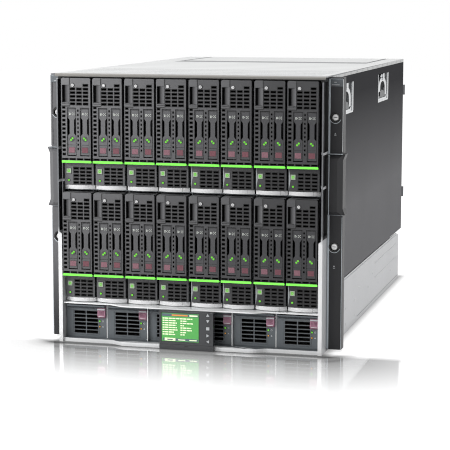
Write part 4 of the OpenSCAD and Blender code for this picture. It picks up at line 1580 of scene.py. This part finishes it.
@dataclass
class Display:
    """The small screen that slides along the lip and tilts up."""

    shop: Workshop
    centre: float = 2.0
    width: float = 90.5
    front: float = -16.5
    screen_left: float = -41.25
    screen_size: Pair = (62.4, 46.5)
    screen_bottom: float = 13.9
    rim_width: float = 0.9
    key_z: tuple[float, ...] = (59.5, 49.6, 37.6, 26.1, 16.5)
    dashes: tuple[tuple[int, int], ...] = (
        (50, 0), (22, 11), (24, 21), (23, 6), (24, 18), (25, 19), (19, 9), (21, 7),
    )

    def picture(self) -> bpy.types.Mesh:
        """Build what the lit screen shows: a title bar, lines and three tabs.

        Returns:
            The mesh, from the panel's middle, the face plane and the floor.
        """
        p = self.shop.palette
        shape = Shape()
        x0, z0 = self.screen_left + 0.8, self.screen_bottom + 0.8
        w, h = self.screen_size[0] - 1.6, self.screen_size[1] - 1.6
        y = self.front + 0.16
        shape.block((x0, y, z0 + h - 4.6), (x0 + w, y + 0.2, z0 + h - 0.3), p.screen_bar, 0.04)
        shape.block((x0 + 16.5, y - 0.05, z0 + h - 3.7), (x0 + 43, y + 0.1, z0 + h - 1.4), p.screen_mark)
        shape.block((x0 + 46, y - 0.05, z0 + h - 3.7), (x0 + w - 1, y + 0.1, z0 + h - 1.4), p.screen_text)
        # Rows of dashes in two columns
        for k, (label, value) in enumerate(self.dashes):
            z = z0 + h - 8.9 - k * 3.75
            for start, length in ((1.0, label), (31.0, value)):
                at = 0.0
                while at < length:
                    step = 3.4 + 1.9 * ((k * 3 + int(at)) % 3)
                    end = min(length, at + step)
                    near, far = x0 + start + at, x0 + start + end
                    shape.block((near, y - 0.05, z), (far, y + 0.1, z + 1.9), p.screen_text)
                    at = end + 0.8
        shape.block((x0 + 1.5, y, z0 + 0.4), (x0 + w, y + 0.15, z0 + 4.3), p.screen_bar, 0.04)
        shape.block((x0 + 4.5, y - 0.1, z0 + 0.3), (x0 + 22.5, y + 0.1, z0 + 4.9), p.screen_text)
        shape.block((x0 + 9, y - 0.14, z0 + 1.5), (x0 + 18, y, z0 + 3.2), p.screen_bar)
        for left in (27.0, 46.0):
            shape.block((x0 + left, y - 0.05, z0 + 1.4), (x0 + left + 12, y + 0.1, z0 + 3.0), p.screen_text)
        return shape.finish_mesh("screen_picture", self.shop.effects)

    def rim(self) -> bpy.types.Mesh:
        """Build the raised rim round the screen, a small dark block below it and the dark rings round the
        keys.

        Returns:
            The mesh.
        """
        p = self.shop.palette
        shape = Shape()
        w = self.rim_width
        x0, x1 = self.screen_left - w, self.screen_left + self.screen_size[0] + w
        z0, z1 = self.screen_bottom - w, self.screen_bottom + self.screen_size[1] + w
        for a, b in (
            ((x0, z0), (x1, z0 + w)),
            ((x0, z1 - w), (x1, z1)),
            ((x0, z0 + w), (x0 + w, z1 - w)),
            ((x1 - w, z0 + w), (x1, z1 - w)),
        ):
            shape.block((a[0], self.front - 0.35, a[1]), (b[0], self.front + 0.2, b[1]), p.screen_rim, 0.2)
        shape.block((-3.2, self.front + 0.3, 5.2), (3.2, self.front + 0.55, 7.4), p.face_edge, 0.1)
        depth = (self.front - 0.12, self.front + 0.1)
        for z in self.key_z:
            shape.ring((self.width / 2 - 9, z), (4.1, 4.5), depth, p.face_edge, sides=28)
        return shape.finish_mesh("display_rim", self.shop.effects)

    def build(self) -> None:
        """Dress the display and add the picture."""
        p, shop = self.shop.palette, self.shop
        at = (self.centre, shop.face_y, 0.0)
        glass_y = shop.face_y + self.front

        def lit(middle: Vector, normal: Vector) -> Finish | None:
            """Pick the screen's finish inside its window."""
            inside = normal.y < -0.5 and glass_y + 0.1 < middle.y < glass_y + 1.2
            return p.screen if inside else None

        shop.dress("display_panel", p.screen_rim, lit, 0.3)
        shop.dress("display_tray", p.screen_rim, None, 0.4)
        shop.dress("display_keys", p.key, None, 0.15)
        shop.place("screen_picture", self.picture(), "display_panel", "display_dark", at)
        shop.place("display_rim", self.rim(), "display_panel", "display_dark", at)
        log.info("display: panel, tray, keys and picture")


# ------------------------------------------------------------------ shell


@dataclass
class Shell:
    """Housing, side panels, cover, frame, ears, brackets and screws."""

    shop: Workshop
    half: float = 223.5
    height: float = 442.2
    ear_back: float = 36.6
    ear_width: float = 21.7
    bar: Pair = (222.0, 319.0)
    screw_x: float = 232.55
    screws: Pair = (170.2, 376.6)
    window_y: Pair = (126.0, 494.0)
    window_z: Pair = (372.0, 424.0)
    cover_screws: tuple[float, ...] = (90, 280, 470, 640, 780)
    arrow_z: Pair = (351.0, 139.0)
    knurls: int = 20
    nose_back: float = 4.9
    bar_inner: float = 218.4
    bright_top: float = 180.0
    hook_plane: float = 3.8
    rivets: tuple[Pair, ...] = (
        (319, 58), (412, 42), (522, 32), (458, 59), (271, 42), (414, 16),
        (189, 42), (273, 16), (175, 58), (189, 15), (668, 32),
    )

    def housing_trim(self) -> bpy.types.Mesh:
        """Build the rivets, seams and flange on the two sides of the housing.

        Returns:
            The mesh, from the middle, the face plane and the floor.
        """
        p = self.shop.palette
        shape = Shape()
        for side in (-1, 1):
            x = side * self.half
            near, far = (x, x + 0.45) if side > 0 else (x - 0.45, x)
            for y, z in self.rivets:
                shape.disc((y, z), 1.7, (near, far), p.guard, Axis.X, sides=16)
            shape.prism([(60, 93.2), (733, 93.2), (733, 93.8), (60, 93.8)], (near, far), p.module, Axis.X)
            shape.prism([(300, 8.2), (760, 8.2), (760, 8.9), (300, 8.9)], (near, far), p.module, Axis.X)
        return shape.finish_mesh("housing_rivets", self.shop.effects)

    def ear_trim(self, side: int) -> bpy.types.Mesh:
        """Build the bright edge lines, wells and light strip of one ear.

        Args:
            side: 1 for the right ear, -1 for the left one.

        Returns:
            The mesh.
        """
        p, y = self.shop.palette, self.ear_back
        shape = Shape()
        inner, outer = self.half - 2.4, self.half + self.ear_width

        def slab(x: Pair, depth: Pair, z: Pair, finish: Finish, inset: float = 0.15) -> None:
            """Add one strip, mirrored for the left ear.

            Args:
                x: Inner and outer edge.
                depth: Near and far place.
                z: Bottom and top.
                finish: Its finish.
                inset: Chamfer of its front.
            """
            low, high = sorted((side * x[0], side * x[1]))
            shape.block((low, depth[0], z[0]), (high, depth[1], z[1]), finish, inset)

        slab((inner + 0.2, inner + 3.3), (y - 0.3, y + 0.6), (4.4, 437.6), p.ear_line, 0.2)
        slab((inner + 3.3, outer - 1.6), (y - 0.3, y + 0.6), (437.0, 437.6), p.ear_line)
        slab((outer - 0.9, outer - 0.25), (y - 0.25, y + 0.5), (self.bar[1] + 3, 437.0), p.guard, 0.0)
        slab((outer - 0.9, outer - 0.25), (y - 0.25, y + 0.5), (4.4, self.bar[0] - 4), p.ear_line, 0.0)
        slab(
            (inner + 0.6, outer + 0.5),
            (y - 8.6, y - 1.0),
            (self.bar[1] + 0.02, self.bar[1] + 0.5),
            p.ear_line,
            0.1,
        )
        slab(
            (inner + 0.6, outer + 0.5),
            (y - 3.4, y - 0.2),
            (self.bar[0] - 0.5, self.bar[0] - 0.02),
            p.ear_line,
            0.1,
        )
        slab(
            (inner + 2.9, inner + 4.3),
            (y - 10.25, y - 9.6),
            (self.bar[0] + 1.0, self.bar[1] - 1.0),
            p.ear_line,
            0.2,
        )
        slab((inner + 3.4, outer - 1.0), (y - 0.2, y + 0.5), (425.5, 436.9), p.supply, 0.0)
        slab((inner + 9.0, inner + 13.0), (y - 0.3, y + 0.5), (431.6, 432.6), p.key, 0.0)
        slab((inner + 5.0, inner + 17.5), (y - 0.3, y + 0.5), (427.6, 428.6), p.key, 0.0)
        # Painted shade: black rings round the screw wells
        for z in self.screws:
            shape.ring((side * self.screw_x, z), (6.6, 8.9), (y - 0.55, y + 0.9), p.well_painted_shade, sides=40)
            centre, arc = (side * self.screw_x, z), (200.0, 340.0)
            shape.ring(centre, (8.9, 9.7), (y - 0.6, y + 0.5), p.ear_line, sides=24, arc=arc)
        # A plain arrow pair marks the bays
        for z in self.arrow_z:
            x = side * self.screw_x
            shape.prism([(x - 1.6, z - 1.2), (x + 1.6, z - 1.2), (x, z + 1.6)], (y - 0.25, y + 0.3), p.key)
            shape.block((x - 1.6, y - 0.25, z - 3.4), (x + 1.6, y + 0.3, z - 2.6), p.key)
        return shape.finish_mesh("ear_lines", self.shop.effects)

    def screw_trim(self) -> bpy.types.Mesh:
        """Build the knurled heads of the four thumbscrews.

        Returns:
            The mesh.
        """
        p, y = self.shop.palette, self.ear_back
        shape = Shape()
        for side in (-1, 1):
            for z in self.screws:
                x = side * self.screw_x
                shape.disc((x, z), 4.9, (y + 0.7, y + 6.5), p.screw, inset=0.6, sides=40)
                for k in range(self.knurls):
                    t = 2 * math.pi * k / self.knurls
                    rib = (x + 4.85 * math.cos(t), z + 4.85 * math.sin(t))
                    shape.disc(rib, 0.5, (y + 1.4, y + 6.2), p.screw, sides=8)
                shape.block((x - 3.2, y + 0.55, z - 0.4), (x + 3.2, y + 0.75, z + 0.4), p.face_edge)
        return shape.finish_mesh("thumbscrew_heads", self.shop.effects)

    def cover_trim(self) -> bpy.types.Mesh:
        """Build the small screws along the two sides of the cover.

        Returns:
            The mesh.
        """
        p = self.shop.palette
        shape = Shape()
        for side in (-1, 1):
            for y in self.cover_screws:
                near, far = (self.half, self.half + 0.5) if side > 0 else (-self.half - 0.5, -self.half)
                shape.disc((y, self.height - 3.4), 1.5, (near, far), p.guard, Axis.X, sides=16)
        return shape.finish_mesh("cover_screws", self.shop.effects)

    def bracket_trim(self) -> bpy.types.Mesh:
        """Build the bright hooks in the windows of the lift brackets.

        Returns:
            The mesh.
        """
        p = self.shop.palette
        shape = Shape()
        z0, z1 = self.window_z
        for side in (-1, 1):
            near, far = sorted((side * (self.half - 3.4), side * (self.half - 0.5)))
            for y in self.window_y:
                arch = []
                for radii, step in (((43.0, 21.0), 1), ((27.0, 13.0), -1)):
                    turns = [t * math.pi / 12 for t in range(13)]
                    points = [
                        (y + 50 + radii[0] * math.cos(t), z0 + 25 + radii[1] * math.sin(t)) for t in turns
                    ]
                    points = [(points[0][0], z0 + 11), *points, (points[-1][0], z0 + 11)]
                    arch += points[::step]
                post = [(y + 100, z0 + 2), (y + 111, z0 + 2), (y + 111, z1 - 2), (y + 100, z1 - 2)]
                foot = [(3, 1.5), (96, 1.5), (100, 12), (84, 7), (3, 7)]
                shape.prism(arch, (near, far), p.bright, Axis.X)
                shape.prism(post, (near, far), p.bright, Axis.X)
                shape.prism([(y + u, z0 + v) for u, v in foot], (near, far), p.bright, Axis.X)
                shape.disc((y + 44, z1 - 4.5), 10.0, (near, far), p.bright, Axis.X, squash=0.36, sides=24)
                # Painted shade: the sunk plate behind the hooks is darker grey
                plate = [(3, 8), (80, 8), (68, 19), (44, 22), (3, 18)]
                half = (near + far) / 2
                sunk = (near, half) if side < 0 else (half, far)
                shape.prism([(y + u, z0 + v) for u, v in plate], sunk, p.plate, Axis.X)
        return shape.finish_mesh("bracket_hooks", self.shop.effects)

    def dress_case(self) -> None:
        """Dress the housing, side panels, cover and front frame."""
        p, shop = self.shop.palette, self.shop
        y0 = shop.face_y
        shop.dress("base_housing", p.housing, None, 0.5)
        for side in ("left", "right"):
            shop.dress(f"{side}_side_panel", p.panel, None, 0.3)

        def cover_rule(middle: Vector, normal: Vector) -> Finish | None:
            """Pick the finish of the cover: grey nose and grooves, both with painted shade.

            Args:
                middle: Middle of the face in millimetres.
                normal: Its normal; not used.

            Returns:
                The finish, or None for the piece's own.
            """
            if middle.y < y0 + self.nose_back:
                return p.nose
            return p.groove_painted_shade if self.height - 1.2 < middle.z < self.height - 0.1 else None

        shop.dress("top_cover", p.cover, cover_rule, 0.3)

        def frame_rule(middle: Vector, normal: Vector) -> Finish | None:
            """Pick the finish of the frame: bright front edges, and dark upper sides of painted shade.

            Args:
                middle: Middle of the face in millimetres.
                normal: Its normal.

            Returns:
                The finish, or None for the piece's own.
            """
            facing = normal.y < -0.5
            edge = middle.y < y0 + 1 and abs(middle.x) > self.bar_inner
            return p.frame if facing and (edge or middle.z < self.bright_top) else p.frame_side

        shop.dress("front_frame", p.frame, frame_rule, 0.3)

    def dress_ears(self) -> None:
        """Dress the two rack ears and add their lines."""
        p, shop = self.shop.palette, self.shop
        y0 = shop.face_y
        well_y = y0 + self.ear_back + 0.3

        def ear_rule(middle: Vector, normal: Vector) -> Finish | None:
            """Pick the finish of an ear: painted shade, black inside the screw wells.

            Args:
                middle: Middle of the face in millimetres.
                normal: Its normal; not used.

            Returns:
                The finish, or None for the piece's own.
            """
            for z in self.screws:
                near = math.hypot(abs(middle.x) - self.screw_x, middle.z - z) < 8.3
                if near and well_y < middle.y < well_y + 19.7:
                    return p.well_painted_shade
            return None

        # The left ear takes the lit copy of the ears' black: painted light
        for side, sign, base in (("left", -1, p.ear_painted_light), ("right", 1, p.ear)):
            shop.dress(f"{side}_rack_ear", base, ear_rule, 0.5)
            shop.place(f"{side}_ear_lines", self.ear_trim(sign), "chassis", "ear_plastic", (0.0, y0, 0.0))

    def build(self) -> None:
        """Dress the shell and add its trim."""
        p, shop = self.shop.palette, self.shop
        self.dress_case()
        self.dress_ears()
        shop.dress("rack_screws", p.screw, None, 0.2)

        def bracket_rule(middle: Vector, normal: Vector) -> Finish | None:
            """Pick the finish of a bracket: its sunk plate lies in shade."""
            return p.plate if abs(middle.x) < self.half - self.hook_plane else None

        shop.dress("lift_brackets", p.bright, bracket_rule, 0.5)
        at = (0.0, shop.face_y, 0.0)
        shop.place("bracket_hooks", self.bracket_trim(), "chassis", "bracket_metal", at)
        shop.place("housing_rivets", self.housing_trim(), "chassis", "housing_light", at)
        shop.place("thumbscrew_heads", self.screw_trim(), "chassis", "bracket_metal", at)
        shop.place("cover_screws", self.cover_trim(), "chassis", "cover_white", at)
        log.info("shell: housing, panels, cover, frame, ears and brackets")


@dataclass
class RearAndMiddle:
    """Cage, midplane, fans and the modules at the rear."""

    shop: Workshop
    depth: float = 797.0
    plane_y: Pair = (529.0, 537.0)

    def build(self) -> None:
        """Dress the middle and the rear."""
        p, shop = self.shop.palette, self.shop
        back = shop.face_y + self.depth

        def fan_rule(middle: Vector, normal: Vector) -> Finish | None:
            """Pick the finish of a fan: bright guard, grey handle, black duct.

            Args:
                middle: Middle of the face in millimetres.
                normal: Its normal; not used.

            Returns:
                The finish, or None for the piece's own.
            """
            if middle.y > back + 1.6:
                return p.handle
            return p.guard if middle.y > back + 0.1 else None

        def module_rule(middle: Vector, normal: Vector) -> Finish | None:
            """Pick the finish of a module: maroon handles and black ports.

            Args:
                middle: Middle of the face in millimetres.
                normal: Its normal; not used.

            Returns:
                The finish, or None for the piece's own.
            """
            if middle.y > back + 0.1:
                return p.maroon
            return p.port if back - 12.2 < middle.y < back - 0.1 and abs(middle.x) > 1.1 else None

        def plane_rule(middle: Vector, normal: Vector) -> Finish | None:
            """Pick the finish of the midplane: black sockets on both sides."""
            near, far = (shop.face_y + v for v in self.plane_y)
            return None if near < middle.y < far else p.plug

        shop.dress("blade_cage", p.cage)
        shop.dress("rear_cage", p.cage)
        shop.dress("midplane", p.board, plane_rule)
        shop.dress("fan_modules", p.fan, fan_rule, 0.3)
        shop.dress("interconnect_modules", p.module, module_rule, 0.4)
        shop.dress("management_modules", p.module, module_rule, 0.4)
        log.info("rear and middle: cage, midplane, fans and modules")


# ------------------------------------------------------------------ studio


@dataclass
class Studio:
    """Pale floor, soft lights and the camera."""

    face_y: float
    lens: float = 132.4
    place: Point = (0.7284, -2.5296, 0.5628)
    yaw: float = -0.2575
    pitch: float = -0.1362
    roll: float = -0.0011
    half: Pair = (0.2235, 0.396)
    fade: float = 0.35
    polish: float = 0.82
    even_light: float = 0.35
    floor_reach: float = 9.0
    floor_steps: int = 12

    def camera(self) -> None:
        """Put the camera where it sees the front, right side and cover."""
        data = bpy.data.cameras.new("studio_camera")
        data.lens = self.lens
        data.sensor_width = 36.0
        data.clip_end = 100.0
        camera = bpy.data.objects.new("studio_camera", data)
        level = math.cos(self.pitch)
        forward = Vector((math.sin(self.yaw) * level, math.cos(self.yaw) * level, math.sin(self.pitch)))
        right = forward.cross(Vector((0, 0, 1))).normalized()
        up = right.cross(forward)
        turned = Matrix.Rotation(self.roll, 3, forward)
        right, up = turned @ right, turned @ up
        basis = Matrix((right, up, -forward)).transposed().to_4x4()
        x, y, z = self.place
        camera.matrix_world = Matrix.Translation((x, y + self.face_y * MM, z)) @ basis
        bpy.context.scene.collection.objects.link(camera)
        bpy.context.scene.camera = camera

    def lamp(self, name: str, at: Point, towards: Point, size: Pair, power: float) -> None:
        """Add a soft rectangular lamp.

        Args:
            name: Name of the lamp.
            at: Its place in metres.
            towards: Point it looks at.
            size: Width and height in metres.
            power: Watts.
        """
        data = bpy.data.lights.new(name, "AREA")
        data.shape = "RECTANGLE"
        data.size, data.size_y = size
        data.energy = power
        lamp = bpy.data.objects.new(name, data)
        lamp.location = at
        lamp.rotation_euler = (Vector(towards) - Vector(at)).to_track_quat("-Z", "Y").to_euler()
        bpy.context.scene.collection.objects.link(lamp)

    def world(self, strength: float) -> None:
        """Light evenly, and show white to the camera, to gloss and through glass.

        Args:
            strength: Strength of the even light.
        """
        world = bpy.data.worlds.new("studio_world")
        bpy.context.scene.world = world
        world.use_nodes = True
        g = Graph(world.node_tree)
        background = world.node_tree.nodes["Background"]
        background.inputs["Color"].default_value = WHITE
        level = g.ramp(g.seen(), 0.0, 1.0, (strength, 1.0))
        g.tree.links.new(level, background.inputs["Strength"])

    def floor_material(self) -> bpy.types.Material:
        """Make the white floor, polished and with a painted contact shadow by the object.

        Returns:
            The material.
        """
        made = bpy.data.materials.new("floor_white")
        made.use_nodes = True
        g = Graph(made.node_tree)
        shader = made.node_tree.nodes["Principled BSDF"]
        place = g.object_place()
        cloud = g.add("ShaderNodeTexNoise", {"Vector": place, "Scale": 1.5, "Detail": 2.0}).outputs[0]
        shader.inputs["Roughness"].default_value = 0.6
        shader.inputs["Specular IOR Level"].default_value = 0.0
        shader.inputs["Emission Color"].default_value = WHITE
        # Distance from the object's footprint
        split = g.add("ShaderNodeSeparateXYZ", {0: place}).outputs
        wide, deep = (
            g.math("MAXIMUM", g.math("SUBTRACT", g.math("ABSOLUTE", split[k]), self.half[k]), 0.0)
            for k in (0, 1)
        )
        away = g.math("SQRT", g.math("ADD", g.times(wide, wide), g.times(deep, deep)))
        # Painted contact shadow: a soft dark line lies where the object stands, in the floor's colour and
        # glow
        ahead = g.ramp(split[1], -self.half[1] + 0.02, -self.half[1] - 0.01)
        behind = g.times(g.math("SUBTRACT", 1.0, ahead), g.ramp(away, 0.0, 0.014, (0.45, 1.0)))
        dark = g.math("MAXIMUM", g.ramp(away, 0.014, 0.055, (0.08, 1.0)), behind)
        pale = g.mix(cloud, (0.5, 0.5, 0.505), (0.52, 0.52, 0.52))
        g.tree.links.new(g.mix(dark, (0.01, 0.01, 0.01), pale), shader.inputs["Base Color"])
        level = g.times(g.times(g.seen(), dark), g.ramp(away, 0.0, 1.2, (0.78, 0.86)))
        g.tree.links.new(level, shader.inputs["Emission Strength"])
        # The polish is strongest beside the object and fades away from it
        mirror = g.add("ShaderNodeBsdfGlossy", {"Roughness": g.ramp(away, 0.0, self.fade, (0.02, 0.08))})
        strength = g.ramp(away, 0.02, self.fade, (self.polish, 0.0))
        share = g.times(strength, g.math("MAXIMUM", ahead, 0.1))
        # The mirror is weakened at the contact too, as part of the painted shadow
        share = g.times(share, g.ramp(away, 0.012, 0.04, (0.12, 1.0)))
        both = g.add("ShaderNodeMixShader", {0: share, 1: shader.outputs[0], 2: mirror.outputs[0]})
        g.tree.links.new(both.outputs[0], made.node_tree.nodes["Material Output"].inputs["Surface"])
        return made

    def floor(self) -> None:
        """Lay the white glossy floor."""
        bm = bmesh.new()
        reach, steps = self.floor_reach, self.floor_steps
        marks = [-reach + 2 * reach * i / steps for i in range(steps + 1)]
        rows = [[bm.verts.new((x, y, 0.0)) for x in marks] for y in marks]
        for a, b in zip(rows, rows[1:]):
            for k in range(steps):
                bm.faces.new([a[k], a[k + 1], b[k + 1], b[k]])
        mesh = bpy.data.meshes.new("studio_floor")
        bm.to_mesh(mesh)
        bm.free()
        mesh.materials.append(self.floor_material())
        floor = bpy.data.objects.new("studio_floor", mesh)
        bpy.context.scene.collection.objects.link(floor)

    def build(self) -> None:
        """Set up the studio."""
        bpy.context.scene.view_settings.view_transform = "Standard"
        bpy.context.scene.cycles.filter_width = 1.1
        self.camera()
        self.world(self.even_light)
        self.lamp("key_left", (-0.85, -1.2, 0.8), (-0.1, -0.4, 0.24), (0.5, 0.5), 12.0)
        self.lamp("front_soft", (-0.6, -3.0, 1.2), (0.0, -0.4, 0.2), (1.6, 1.2), 13.0)
        self.lamp("top_soft", (0.0, 0.3, 2.6), (0.0, 0.1, 0.0), (2.4, 2.4), 44.0)
        self.lamp("fill_right", (2.8, 0.2, 0.5), (0.0, 0.1, 0.2), (1.6, 1.0), 18.0)
        self.floor()
        log.info("studio: camera, lamps and floor")


def main() -> None:
    """Build the dressed enclosure piece by piece."""
    logging.basicConfig(level=logging.INFO, format="%(name)s: %(message)s")
    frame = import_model()
    # The blades' faces stand a millimetre behind their raised screws and strips
    face_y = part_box("blade_01")[0].y / MM + 1.0
    shop = Workshop(frame["nodes"], Effects(), Palette(), face_y)
    Studio(shop.face_y).build()
    for part in (Shell(shop), Blades(shop), PowerBay(shop), Display(shop), RearAndMiddle(shop)):
        part.build()
    log.info("eased edges on %d pieces", shop.bevelled)


if __name__ == "__main__":
    main()
